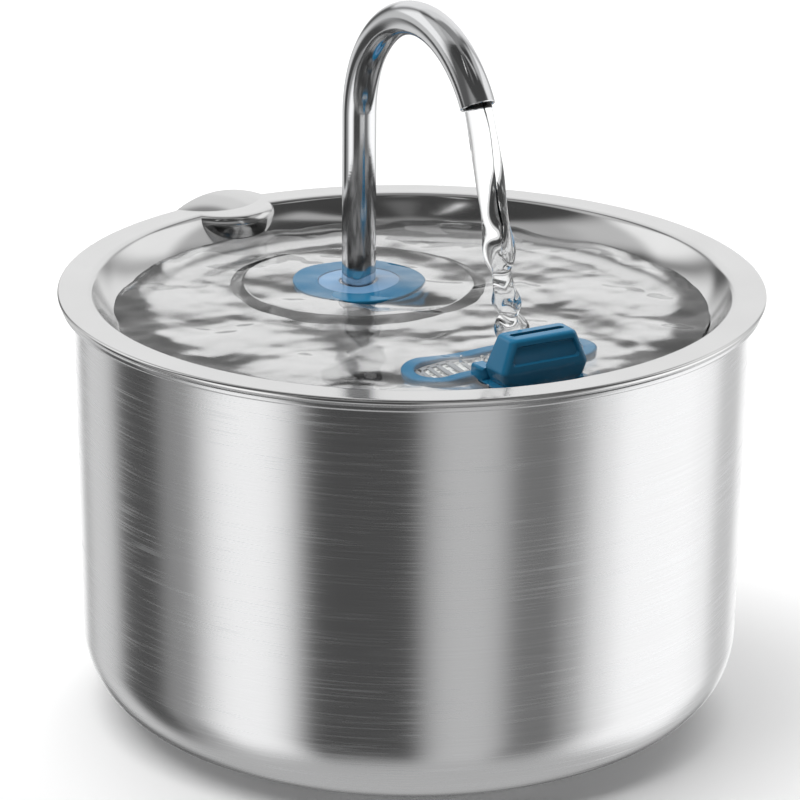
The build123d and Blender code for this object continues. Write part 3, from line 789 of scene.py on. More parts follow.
class Recipe(Graph):
    """A geometry node tree with named sizes, which ends in real mesh with one material."""

    def __init__(self, name: str, sizes: dict[str, Union[int, float]]) -> None:
        """Make the tree, with an input for each named size.

        Args:
            name: Name of the tree.
            sizes: Value of each named input.
        """
        tree = bpy.data.node_groups.new(name, "GeometryNodeTree")
        super().__init__(tree)
        self.name = name
        self.sizes = sizes
        for label, value in sizes.items():
            kind = "NodeSocketInt" if isinstance(value, int) else "NodeSocketFloat"
            tree.interface.new_socket(name=label, in_out="INPUT", socket_type=kind)
        tree.interface.new_socket(name="Geometry", in_out="OUTPUT", socket_type="NodeSocketGeometry")
        self.entry = tree.nodes.new("NodeGroupInput")

    def inputs(self) -> list[Value]:
        """The named inputs, in order."""
        return [Value(self, self.entry.outputs[label]) for label in self.sizes]

    def vector(self, x: Any = 0.0, y: Any = 0.0, z: Any = 0.0) -> Value:
        """A vector from three numbers or sockets."""
        return self.node("ShaderNodeCombineXYZ", {"X": x, "Y": y, "Z": z})

    def chance(self, low: Any, high: Any, seed: Any) -> Value:
        """A random number from low to high for each point."""
        inputs = {2: low, 3: high, 8: seed}
        return self.node("FunctionNodeRandomValue", inputs, {"data_type": "FLOAT"}, output=1)

    def joined(self, *parts: Value) -> Value:
        """Put several geometries together.

        Args:
            *parts: The geometries, in order.

        Returns:
            All of them as one.
        """
        together = self.node("GeometryNodeJoinGeometry")
        for part in parts:
            self.tree.links.new(part.socket, together.socket.node.inputs[0])
        return together

    def grow(self, geometry: Value, finish: Finish, shift: Sequence[float]) -> Mesh:
        """End the tree, run it once and take its result as a plain mesh.

        Args:
            geometry: What the tree has made, in metres.
            finish: Finish to set on it.
            shift: How far to move the result, in millimetres.

        Returns:
            The mesh.
        """
        real = self.node("GeometryNodeRealizeInstances", {"Geometry": geometry})
        dressed = self.node("GeometryNodeSetMaterial", {"Geometry": real, "Material": finish.material})
        self.node("NodeGroupOutput", {"Geometry": dressed})
        host = link(self.name, bpy.data.meshes.new(self.name))
        modifier = host.modifiers.new(self.name, "NODES")
        modifier.node_group = self.tree
        for item in self.tree.interface.items_tree:
            if item.in_out == "INPUT":
                modifier[item.identifier] = self.sizes[item.name]
        result = evaluated(host)
        discard(host)
        bmesh.ops.translate(result, verts=result.verts, vec=Vector(shift) * MM)
        return result


class Workshop:
    """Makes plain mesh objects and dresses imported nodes."""

    def __init__(self, frame: dict[str, Any]) -> None:
        self.nodes = frame["nodes"]
        self.slots = {part["node"]: part["material_slot"] for part in frame["record"]["subparts"]}
        self.replaced: set[str] = set()

    def make(self, name: str, mesh: Mesh, finish: Finish, crease: float = 35.0) -> Any:
        """Turn a bmesh into an object at the origin with a finish.

        Args:
            name: Name of the piece.
            mesh: Closed mesh in the object's own frame; it is freed here.
            finish: Its finish.
            crease: Edges sharper than this many degrees stay sharp.

        Returns:
            The new object.
        """
        piece = as_object(name, mesh)
        data = piece.data
        data.materials.clear()
        data.materials.append(finish.material)
        data.shade_smooth()
        data.set_sharp_from_angle(angle=math.radians(crease))
        LOG.info("%s: %d faces", name, len(data.polygons))
        return piece

    def stand_in(
        self,
        name: str,
        mesh: Mesh,
        node: str,
        body: str,
        finish: Optional[Finish] = None,
        crease: float = 35.0,
    ) -> None:
        """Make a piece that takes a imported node's place.

        Args:
            name: Name of the piece.
            mesh: Closed mesh; it is freed here.
            node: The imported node.
            body: The body that it rides on.
            finish: Its finish, or None for that of the node's slot.
            crease: Edges sharper than this many degrees stay sharp.
        """
        slot = self.slots[node]
        piece = self.make(name, mesh, finish or Finish[slot.upper()], crease)
        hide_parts(node)
        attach(piece, body)
        self.replaced.add(node)

    def dress(self, node: str, body: str) -> None:
        """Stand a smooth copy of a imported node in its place.

        Args:
            node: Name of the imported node.
            body: The body that it rides on.
        """
        mesh = bmesh.new()
        mesh.from_mesh(self.nodes[node].data)
        bmesh.ops.remove_doubles(mesh, verts=mesh.verts, dist=1e-6)
        bmesh.ops.dissolve_degenerate(mesh, edges=mesh.edges, dist=1e-7)
        self.stand_in(f"{node}_piece", mesh, node, body, crease=30.0)

    def paint_rest(self) -> None:
        """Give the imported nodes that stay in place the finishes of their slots."""
        for node, slot in self.slots.items():
            if node in self.replaced:
                continue
            for holder in self.nodes[node].material_slots:
                holder.material = Finish[slot.upper()].material
            LOG.info("%s painted as %s", node, slot)


# ---------------------------------------------------------------------------
# Sub-assemblies. Millimetres.
# ---------------------------------------------------------------------------
@dataclass(frozen=True)
class Levels:
    """Heights and radii that several sub-assemblies share."""

    rim: float = 130.2
    dish_floor: float = 117.7
    platform_top: float = 121.1
    platform_y: float = 32.0
    platform_radius: float = 38.6
    platform_top_radius: float = 35.0
    sheet: float = 0.8
    filter_y: float = -50.0
    water: float = 122.8


LEVELS = Levels()


@dataclass
class Bowl:
    """The outer bowl with its rolled lip and the cord's notch."""

    shop: Workshop
    base_height: float = 1.2
    top_height: float = 128.5
    base_radius: float = 97.9
    mouth_radius: float = 99.6
    corner_radius: float = 24.0
    lip_radius: float = 103.5
    bead_width: float = 2.4
    bead_height: float = 2.3
    notch_angle: float = 95.8
    notch_width: float = 12.0
    notch_depth: float = 6.5
    notch_reach: float = 8.0
    segments: int = 360

    def shell(self) -> Mesh:
        """Turn the bowl.

        Returns:
            The closed mesh.
        """
        base, top, sheet = self.base_height, self.top_height, LEVELS.sheet
        bead_inner, bead_low = self.lip_radius - self.bead_width, top - self.bead_height
        corners = [
            (0, base, 0),
            (self.base_radius, base, self.corner_radius),
            (self.mouth_radius, top - sheet, 0.4),
            (bead_inner, top - sheet, 0.3),
            (bead_inner, bead_low, 0.3),
            (self.lip_radius, bead_low, 0.9),
            (self.lip_radius, top, 0.9),
            (self.mouth_radius - sheet, top, 1.2),
            (self.base_radius - sheet, base + sheet, self.corner_radius - sheet),
            (0, base + sheet, 0),
        ]
        return lathe(rounded(corners, 16), self.segments)

    def notch(self) -> Mesh:
        """Round-bottomed prism that cuts the lip where the cord leaves.

        Returns:
            The closed mesh.
        """
        half = self.notch_width / 2
        centre = self.top_height + half - self.notch_depth
        top = centre + self.notch_width
        outline = [(half, top), *arc((0, centre), half, 0, -180, 24), (-half, top)]
        turn = math.radians(self.notch_angle)
        out, side = Vector((*polar(1, turn), 0)), Vector((-math.sin(turn), math.cos(turn), 0))
        reaches = (self.mouth_radius - self.notch_reach, self.lip_radius + self.notch_reach)
        rings = [[out * reach + side * x + Vector((0, 0, z)) for x, z in outline] for reach in reaches]
        return skin(rings, capped=True)

    def build(self) -> None:
        """Build the bowl."""
        shell = carve(self.shell(), (Step.CUT, self.notch()))
        self.shop.stand_in("bowl_shell", shell, "outer_bowl", "bowl")


@dataclass
class Tray:
    """The pressed drinking tray, with its platform and the hood over the cord's way out."""

    shop: Workshop
    segments: int = 512
    edge_radius: float = 104.4
    hem_width: float = 3.4
    hem_height: float = 1.7
    hem_round: float = 0.75
    bend_radius: float = 3.0
    floor_radius: float = 72.5
    floor_margin: float = 0.5
    wall_radius: float = 26.0
    wall_top: float = 1.5
    flat_shares: Triple = (0.1, 0.4, 0.7)
    platform_round: float = 1.2
    hole_radius: float = 14.3
    hole_margin: float = 0.4
    opening: Pair = (56.2, 14.7)
    hood_angle: float = 95.8
    bulge_radius: float = 15.9
    bulge_distance: float = 100.3
    bulge_round: float = 2.6
    bulge_limit: float = 98.0
    dome_radius: float = 43.0
    dome_distance: float = 111.3
    dome_spread: float = 17.4
    overlap: float = 0.16
    crease: float = 17.0

    def side(self, depth: float) -> list[Point]:
        """Profile of the dish's wall and rim, this far under the top of the sheet.

        Args:
            depth: 0 for the top of the sheet, its thickness for the underside.

        Returns:
            Radius and height of each point, from the dish's floor outwards.
        """
        level, floor = LEVELS.rim - depth, LEVELS.dish_floor
        angle = math.degrees(math.acos(1 - (LEVELS.rim - floor - self.wall_top) / self.wall_radius))
        slant = math.radians(angle)
        centre = (self.floor_radius, floor + self.wall_radius)
        wall = arc(centre, self.wall_radius + depth, -90, -90 + angle, 30)
        corner = self.floor_radius + self.wall_radius * math.sin(slant) + self.wall_top / math.tan(slant)
        corners = [
            (*wall[-1], 0),
            (corner + depth * math.tan(slant / 2), level, self.bend_radius - depth),
            (self.edge_radius - self.hem_width, level, 0),
        ]
        *bend, end = rounded(corners, 12)
        start = bend[-1][0]
        flat = [(start + (end[0] - start) * share, level) for share in self.flat_shares]
        return [*wall, *bend[1:], *flat, end]

    def hem(self) -> list[Point]:
        """Profile of the rolled edge, from its top to where its inside meets the sheet's underside.

        Returns:
            Radius and height of each point.
        """
        rim, edge = LEVELS.rim, self.edge_radius
        low, inner = rim - self.hem_height, edge - self.hem_width
        corners = [(inner, rim, 0), (edge, rim, self.hem_round), (edge, low, self.hem_round), (inner, low, 0)]
        return [(edge - self.hem_width / 2, rim), *rounded(corners)[1:]]

    def platform(self, depth: float) -> list[Point]:
        """Profile of the platform about its own axis, from its foot to the hole.

        Args:
            depth: 0 for the top of the sheet, its thickness for the underside.

        Returns:
            Distance from the platform's axis and height of each point.
        """
        top = LEVELS.platform_top - depth
        corners = [
            (LEVELS.platform_radius - depth, LEVELS.dish_floor - depth, 0),
            (LEVELS.platform_top_radius - depth, top, self.platform_round if depth == 0 else 0),
            (self.hole_radius, top, 0),
        ]
        *line, hole = rounded(corners)
        return [*line, (line[-1][0] - self.hole_margin, top), hole]

    @staticmethod
    def flat(mesh: Mesh, loops: Sequence[Sequence[Any]]) -> None:
        """Fill the flat floor inside the first loop of vertices and outside the others.

        Args:
            mesh: Mesh that the loops belong to.
            loops: The outer loop, and then those of the openings.
        """
        verts = [vertex for loop in loops for vertex in loop]
        edges: list[tuple[int, int]] = []
        for loop in loops:
            start = len(edges)
            edges += [(start + step, start + (step + 1) % len(loop)) for step in range(len(loop))]
        places = [vertex.co.xy / MM for vertex in verts]
        holes = [[vertex.co.xy / MM for vertex in loop] for loop in loops[1:]]
        result = delaunay_2d_cdt(places, edges, [], 1, 1e-6)
        for face in result[2]:
            corners = [result[3][index][0] for index in face]
            middle = sum((places[index] for index in corners), Vector((0, 0))) / len(corners)
            if not any(inside(middle, hole) for hole in holes):
                mesh.faces.new([verts[index] for index in corners])

    def pressing(self) -> Mesh:
        """Make the tray without its hood.

        Returns:
            The closed mesh.
        """
        sheet, floor = LEVELS.sheet, LEVELS.dish_floor
        under, start = floor - sheet, self.floor_radius - self.floor_margin
        top_side, low_side = self.side(0.0), self.side(sheet)
        body = [(start, floor), *top_side, *self.hem(), *reversed(low_side), (start, under)]
        platform = [*self.platform(0.0), *reversed(self.platform(sheet))]
        slot = rounded_block(*self.opening, self.opening[1] / 2 - 0.001, LEVELS.filter_y, 24)
        mesh = bmesh.new()
        parts = [
            add_rings(mesh, turned(body, self.segments)),
            add_rings(mesh, turned(platform, self.segments // 2, (0.0, LEVELS.platform_y))),
            add_rings(mesh, [level_ring(slot, height) for height in (floor, under)]),
        ]
        for end in (0, -1):
            self.flat(mesh, [rings[end] for rings in parts])
        bmesh.ops.recalc_face_normals(mesh, faces=mesh.faces)
        return mesh

    def place(self, distance: float) -> Point:
        """X and Y at this distance from the bowl's axis, towards the hood."""
        return polar(distance, math.radians(self.hood_angle))

    def bulge(self, depth: float) -> Mesh:
        """Lower half ball with a flat top and a rounded edge, this far inside the bulge's face.

        Args:
            depth: Distance inside the bulge's outer face.

        Returns:
            The closed mesh.
        """
        radius, edge = self.bulge_radius - depth, self.bulge_round - depth
        low = -depth - edge
        reach = math.sqrt((radius - edge) ** 2 - low**2)
        angle = math.degrees(math.atan2(low, reach))
        line = [(0.0, -depth), *arc((reach, low), edge, 90, angle, 10)]
        line += [*arc((0, 0), radius, angle, -90, 40)[1:-1], (0.0, -radius)]
        return lathe([(x, LEVELS.rim + z) for x, z in line], 128, self.place(self.bulge_distance))

    def cap(self, inset: float, foot: float) -> Mesh:
        """Part of the dome's ball over this height, this far inside its face.

        Args:
            inset: Distance inside the dome's outer face.
            foot: Height of its flat underside.

        Returns:
            The closed mesh.
        """
        radius = self.dome_radius - inset
        centre = LEVELS.rim - math.sqrt(self.dome_radius**2 - self.dome_spread**2)
        start = math.degrees(math.asin((foot - centre) / radius))
        line = [(0.0, foot), *arc((0.0, centre), radius, start, 90, 48)[:-1], (0.0, centre + radius)]
        return lathe(line, 192, self.place(self.dome_distance))

    @staticmethod
    def drum(radius: float, reach: float = 30.0) -> Mesh:
        """Solid drum about the bowl's axis, this far over and under the rim."""
        low, high = LEVELS.rim - reach, LEVELS.rim + reach
        return lathe([(0, low), (radius, low), (radius, high), (0, high)], 512)

    def mouth(self) -> Mesh:
        """Space under the dome, down through the rim."""
        return self.cap(LEVELS.sheet - self.overlap, LEVELS.rim - 2 * self.hem_height)

    def hood(self) -> list[tuple[Step, Mesh]]:
        """Steps that press the hood into the tray.

        Returns:
            The steps, in order.
        """
        rim, sheet = LEVELS.rim, LEVELS.sheet
        hem_inner, under_rim = self.edge_radius - self.hem_width, rim - 5
        bulge = carve(
            self.bulge(0.0),
            (Step.KEEP, self.drum(self.bulge_limit)),
            (Step.CUT, self.bulge(sheet)),
            (Step.CUT, self.mouth()),
        )
        thin = carve(
            self.cap(0.0, rim - sheet + self.overlap),
            (Step.CUT, self.cap(sheet, under_rim)),
            (Step.KEEP, self.drum(hem_inner + sheet)),
        )
        thick = carve(
            self.cap(0.0, rim - self.hem_height + self.overlap),
            (Step.CUT, self.cap(self.hem_height, under_rim)),
            (Step.KEEP, self.drum(self.edge_radius - 0.02)),
            (Step.CUT, self.drum(hem_inner, 40.0)),
        )
        cuts = [(Step.CUT, self.mouth()), (Step.CUT, self.bulge(sheet / 2))]
        return [*cuts, (Step.ADD, bulge), (Step.ADD, thin), (Step.ADD, thick)]

    def build(self) -> None:
        """Build the tray."""
        tray = carve(self.pressing(), *self.hood())
        self.shop.stand_in("pressed_tray", tray, "drinking_tray", "tray", Finish.SATIN_STEEL, self.crease)


@dataclass
class Faucet:
    """The swan-neck tube and the ring that it stands in. Depths are under the platform's top."""

    shop: Workshop
    foot_height: float = 106.1
    bend_height: float = 174.2
    bend_radius: float = 36.75
    bend_angle: float = 149.0
    radius: float = 5.15
    wall: float = 0.8
    edge: float = 0.18
    sides: int = 72
    ring_radius: float = 20.0
    ring_height: float = 1.2
    recess_radius: float = 12.4
    recess_depth: float = 2.8
    shoulder_radius: float = 14.0
    shoulder_depth: float = 7.8
    stem_radius: float = 8.5
    stem_depth: float = 27.0
    stem_bore: float = 6.58
    tube_bore: float = 5.2
    groove_radius: float = 7.05
    groove_width: float = 1.9
    groove_depths: Pair = (4.55, 9.05)
    stop_bore: float = 4.2
    stop_depth: float = 15.0
    stop_end: float = 16.5
    disc_radius: float = 12.38
    disc_hole: float = 5.8
    disc_height: float = 0.4
    disc_thickness: float = 3.2
    disc_seam: float = 9.0

    def centre_line(self) -> list[tuple[Vector, Vector]]:
        """Points of the tube's axis, each with its direction, from the foot to the outlet.

        Returns:
            A point and a direction each.
        """
        y, up = LEVELS.platform_y, Vector((0, 0, 1))
        heights = np.linspace(self.foot_height, self.bend_height, 18)[:-1]
        line = [(Vector((0, y, height)), up) for height in heights]
        for angle in np.radians(np.linspace(0, self.bend_angle, 76)):
            place = polar(self.bend_radius, angle, (y - self.bend_radius, self.bend_height))
            line.append((Vector((0, *place)), Vector((0, -math.sin(angle), math.cos(angle)))))
        return line

    def tube(self) -> Mesh:
        """Bend the tube, with its wall and softened ends.

        Returns:
            The closed mesh.
        """
        line = self.centre_line()
        outer, inner, soft = self.radius, self.radius - self.wall, self.edge
        (foot, rise), (mouth, fall) = line[0], line[-1]
        stations = [(foot, rise, outer - soft), (foot + rise * soft, rise, outer)]
        stations += [(*station, outer) for station in line[1:-1]]
        stations += [(mouth - fall * soft, fall, outer), (mouth, fall, outer - soft)]
        stations += [(mouth, fall, inner + soft), (mouth - fall * soft, fall, inner)]
        stations += [(*station, inner) for station in reversed(line[:-1])]
        return skin([hoop(place, along, [radius] * self.sides) for place, along, radius in stations])

    def turn(self, corners: Sequence[Triple], segments: int) -> Mesh:
        """Turn a line of radii, depths and roundings about the platform's axis."""
        line = rounded([(radius, LEVELS.platform_top - depth, soft) for radius, depth, soft in corners], 6)
        return lathe(line, segments, (0.0, LEVELS.platform_y))

    def flange(self) -> Mesh:
        """Turn the ring on the platform, with its stem under it and the seals' grooves in its bore.

        Returns:
            The closed mesh.
        """
        corners = [
            (self.stem_bore, self.stem_depth, 0),
            (self.stem_radius, self.stem_depth, 0),
            (self.stem_radius, self.shoulder_depth, 0),
            (self.shoulder_radius, self.shoulder_depth, 0),
            (self.shoulder_radius, 0, 0),
            (self.ring_radius, 0, 0),
            (self.ring_radius, -self.ring_height, 0.5),
            (self.recess_radius, -self.ring_height, 0.25),
            (self.recess_radius, self.recess_depth, 0),
            (self.tube_bore, self.recess_depth, 0),
        ]
        for start in self.groove_depths:
            end = start + self.groove_width
            corners += [(self.tube_bore, start, 0), (self.groove_radius, start, 0)]
            corners += [(self.groove_radius, end, 0), (self.tube_bore, end, 0)]
        corners += [(self.tube_bore, self.stop_depth, 0), (self.stop_bore, self.stop_depth, 0)]
        corners += [(self.stop_bore, self.stop_end, 0), (self.stem_bore, self.stop_end, 0)]
        return self.turn(corners, 192)

    def disc(self) -> Mesh:
        """Turn the soft disc in the ring, with a hole round the tube.

        Returns:
            The closed mesh.
        """
        top, low = -self.disc_height, self.disc_thickness - self.disc_height
        corners = [
            (self.disc_seam, low, 0),
            (self.disc_radius, low, 0),
            (self.disc_radius, top, 0.35),
            (self.disc_hole, top, 0.5),
            (self.disc_hole, low, 0),
            (self.disc_seam - 0.1, low, 0),
        ]
        return self.turn(corners, 160)

    def build(self) -> None:
        """Build the tube, the ring and its disc."""
        self.shop.stand_in("swan_neck", self.tube(), "faucet_tube", "faucet")
        self.shop.stand_in("socket_ring", self.flange(), "faucet_flange", "tray")
        self.shop.stand_in("socket_disc", self.disc(), "seal_disc", "tray")


@dataclass
class Cassette:
    """The filter frame with its grip and its grid.

    The grip's foot, waist and top are each a length, a width and a height.
    """

    shop: Workshop
    grip_y: float = -70.1
    grip_foot: Triple = (24.4, 9.6, 120.0)
    grip_waist: Triple = (28.4, 11.4, 126.6)
    grip_top: Triple = (21.4, 8.8, 136.0)
    grip_corner: float = 2.0
    grip_round: float = 1.1
    grip_wall: float = 1.5
    grip_crease: float = 24.0
    slot: Pair = (17.6, 2.2)
    panel_margin: float = 2.4
    panel_depth: float = 0.7
    grid: Triple = (53.4, 11.9, 1.0)
    grid_margin: float = 1.95
    grid_pitch: float = 3.2
    grid_bar: float = 1.4
    grid_bars: int = 16

    def grip_size(self, height: float) -> Pair:
        """Length and width of the grip at this height.

        Args:
            height: The height.

        Returns:
            The length and the width.
        """
        foot, waist, top = self.grip_foot, self.grip_waist, self.grip_top
        low, high = (foot, waist) if height < waist[2] else (waist, top)
        share = (height - low[2]) / (high[2] - low[2])
        return low[0] + share * (high[0] - low[0]), low[1] + share * (high[1] - low[1])

    def grip_ring(self, height: float, inset: float) -> list[Vector]:
        """Ring at this height, this far inside the grip's outer face.

        Args:
            height: Height of the ring.
            inset: Distance inside the outer face.

        Returns:
            The points.
        """
        length, width = self.grip_size(height)
        corner = max(0.4, self.grip_corner - inset)
        return level_ring(rounded_block(length - 2 * inset, width - 2 * inset, corner, self.grip_y), height)

    def grip_outside(self) -> Mesh:
        """Flared body of the grip, with a rounded waist and top edge.

        Returns:
            The closed mesh.
        """
        foot, waist, top = self.grip_foot[2], self.grip_waist[2], self.grip_top[2]
        stations = [(foot, 0.15), (foot + 0.3, 0.0), (waist - 0.7, 0.0), (waist - 0.3, 0.03), (waist, 0.08)]
        stations += [(waist + 0.3, 0.03), (waist + 0.8, 0.0)]
        for angle in np.radians(np.linspace(0, 90, 8)):
            drop, inset = 1 - math.sin(angle), 1 - math.cos(angle)
            stations.append((top - self.grip_round * drop, self.grip_round * inset))
        return skin([self.grip_ring(*station) for station in stations], capped=True)

    def panel(self) -> Mesh:
        """Prism that sinks the panel into the grip's front, with sloping sides.

        Returns:
            The closed mesh.
        """
        waist, top, margin = self.grip_waist, self.grip_top, self.panel_margin
        lean = math.atan2((waist[1] - top[1]) / 2, top[2] - waist[2])
        slant = (top[2] - waist[2]) / math.cos(lean)
        taper = (waist[0] - top[0]) / 2 / slant
        origin = Vector((0, self.grip_y - waist[1] / 2, waist[2]))
        right = Vector((1, 0, 0))
        up, out = Vector((0, math.sin(lean), math.cos(lean))), Vector((0, -math.cos(lean), math.sin(lean)))
        rings = []
        for depth, spread in ((-self.panel_depth, 0.0), (0.0, 0.45), (1.0, 1.1)):
            low, high = margin - spread, slant - margin + spread
            corners = []
            for height, sign in ((low, -1), (low, 1), (high, 1), (high, -1)):
                half = waist[0] / 2 - taper * height - margin * 1.05 + spread
                corners.append((sign * half, height, 1.0))
            outline = rounded([corners[-1], *corners, corners[0]], 5)[1:-1]
            rings.append([origin + right * x + up * y + out * depth for x, y in outline])
        return skin(rings, capped=True)

    def grip(self) -> Mesh:
        """Shape the grip: hollow, with a slot in its top, an open foot and a sunk panel in front.

        Returns:
            The closed mesh.
        """
        foot, waist, top, wall = self.grip_foot[2], self.grip_waist[2], self.grip_top[2], self.grip_wall
        hollow = skin([self.grip_ring(height, wall) for height in (foot, waist, top - wall)], capped=True)
        length, width = self.grip_size(foot)
        opening = rounded_block(length - 2 * wall, width - 2 * wall, 1.0, self.grip_y)
        slot = rounded_block(*self.slot, self.slot[1] / 2 - 0.001, self.grip_y, 10)
        return carve(
            self.grip_outside(),
            (Step.CUT, hollow),
            (Step.CUT, prism(opening, foot - 1, foot + 0.2)),
            (Step.CUT, prism(slot, top - 2 * wall, top + 2)),
            (Step.CUT, self.panel()),
        )

    def mesh_grid(self) -> Mesh:
        """Grow the grid: a ring with evenly spaced bars across it.

        Returns:
            The mesh, in its place.
        """
        sizes = {
            "Length": self.grid[0] * MM,
            "Width": self.grid[1] * MM,
            "Thickness": self.grid[2] * MM,
            "Margin": self.grid_margin * MM,
            "Bar Width": self.grid_bar * MM,
            "Pitch": self.grid_pitch * MM,
            "Bars": self.grid_bars,
        }
        recipe = Recipe("filter_grid_recipe", sizes)
        length, width, thickness, margin, bar_width, pitch, bars = recipe.inputs()

        def block(across: Value, high: Value, count: int, radius: Value) -> Value:
            """Rectangle with rounded corners.

            Args:
                across: Its width.
                high: Its height.
                count: Number of steps in each corner.
                radius: Radius of its corners.

            Returns:
                The closed curve.
            """
            shape = recipe.node("GeometryNodeCurvePrimitiveQuadrilateral", {"Width": across, "Height": high})
            inputs = {"Curve": shape, "Count": count, "Radius": radius}
            return recipe.node("GeometryNodeFilletCurve", inputs, {"mode": "POLY"})

        def strand(line: Value, across: Value, caps: bool) -> Value:
            """Strand of this width along a line.

            Args:
                line: The line to follow.
                across: Its width.
                caps: True to close its ends.

            Returns:
                The strand's mesh.
            """
            section = block(across, thickness, 3, thickness * 0.25)
            inputs = {"Curve": line, "Profile Curve": section, "Fill Caps": caps}
            return recipe.node("GeometryNodeCurveToMesh", inputs)

        path = block(length - margin, width - margin, 20, (width - margin) * 0.499)
        half = (width - margin) * 0.5
        ends = {"Start": recipe.vector(y=half * -1), "End": recipe.vector(y=half)}
        bar = strand(recipe.node("GeometryNodeCurvePrimitiveLine", ends), bar_width, True)
        start = recipe.vector((bars - 1) * pitch * -0.5)
        places = {"Count": bars, "Start Location": start, "Offset": recipe.vector(pitch)}
        row = recipe.node("GeometryNodeMeshLine", places)
        comb = recipe.node("GeometryNodeInstanceOnPoints", {"Points": row, "Instance": bar})
        shift = (0, LEVELS.filter_y, LEVELS.dish_floor + self.grid[2] / 2)
        grid = recipe.grow(recipe.joined(strand(path, margin, False), comb), Finish.GREY_PLASTIC, shift)
        bmesh.ops.recalc_face_normals(grid, faces=grid.faces)
        return grid

    def build(self) -> None:
        """Build the grip and the grid, and dress the frame."""
        self.shop.dress("filter_frame", "cassette")
        self.shop.stand_in("grip_shell", self.grip(), "lift_grip", "cassette", crease=self.grip_crease)
        self.shop.stand_in("filter_grid", self.mesh_grid(), "filter_mesh", "cassette")


@dataclass(frozen=True)
class Stream:
    """The falling water, smooth above and twisted below.

    A fall of 0 is at the outlet and 1 at the pool. Angles are in radians.
    """

    radius: float = 4.15
    inset: float = 7.0
    inset_share: float = 0.08
    steps: int = 190
    sides: int = 96
    sag: float = 1.6
    sway: float = 0.7
    taper: float = 0.04
    waists: tuple[Pair, ...] = ((0.70, 0.36), (0.90, 0.10))
    waist_length: float = 0.05
    flare: float = 0.5
    flare_start: float = 0.95
    twists: Triple = (0.3, 1.1, 1.3)
    oval: Pair = (0.03, 0.30)
    oval_middle: float = 0.55
    oval_rate: float = 18.0
    lobes: float = 0.05
    lap: float = math.radians(-34)
    lap_start: float = 0.42
    lap_turn: float = 5.0
    lap_sway: float = 0.10
    groove: float = 0.42
    groove_width: float = 0.035

    def girth(self, fall: float) -> float:
        """Mean radius, with the stream's waists and its flared foot.

        Args:
            fall: How far along the stream, from 0 to 1.

        Returns:
            The radius.
        """
        waist = 1.0
        for middle, depth in self.waists:
            waist -= depth * math.exp(-(((fall - middle) / self.waist_length) ** 2))
        flare = 1 + self.flare * max(0.0, fall - self.flare_start) / (1 - self.flare_start)
        return self.radius * (1 - self.taper * fall) * waist * flare

    def radii(self, fall: float) -> list[float]:
        """Radii round the stream: an oval that twists, with a groove where the water laps over itself.

        Args:
            fall: How far along the stream, from 0 to 1.

        Returns:
            The radii, in order round the stream.
        """
        girth = self.girth(fall)
        pinch = self.oval[0] + self.oval[1] / (1 + math.exp(-(fall - self.oval_middle) * self.oval_rate))
        twist = FULL_TURN * (self.twists[0] + self.twists[1] * fall + self.twists[2] * fall**3)
        lap = self.lap + self.lap_sway * math.sin(9 * fall)
        lap += self.lap_turn * max(0.0, fall - self.lap_start) ** 1.5
        radii = []
        for step in range(self.sides):
            angle = FULL_TURN * step / self.sides
            off_lap = (angle - lap + math.pi) % FULL_TURN - math.pi
            groove = self.groove * math.exp(-(off_lap**2) / self.groove_width)
            lobes = self.lobes * fall * math.cos(3 * angle + 20 * fall)
            radii.append(girth * (1 + pinch * math.cos(2 * (angle - twist)) + lobes - groove))
        return radii

    def mesh(self, outlet: Vector, along: Vector, foot: Vector) -> Mesh:
        """Skin the stream.

        Args:
            outlet: Centre of the tube's outlet.
            along: Direction of the tube there.
            foot: Where the stream ends.

        Returns:
            The mesh, from inside the tube to the foot.
        """
        start, way = outlet - along * self.inset, (foot - outlet).normalized()
        rings = []
        for step in range(self.steps + 1):
            share = step / self.steps
            fall = max(0.0, (share - self.inset_share) / (1 - self.inset_share))
            if fall == 0.0:
                centre, heading = start.lerp(outlet, share / self.inset_share), along
            else:
                centre, heading = outlet.lerp(foot, fall), way
                centre.y -= self.sag * math.sin(math.pi * fall) * (1 - fall)
                centre.x += self.sway * math.sin(9.0 * fall) * fall**2
            rings.append(hoop(centre, heading, self.radii(fall)))
        return skin(rings, capped=True)


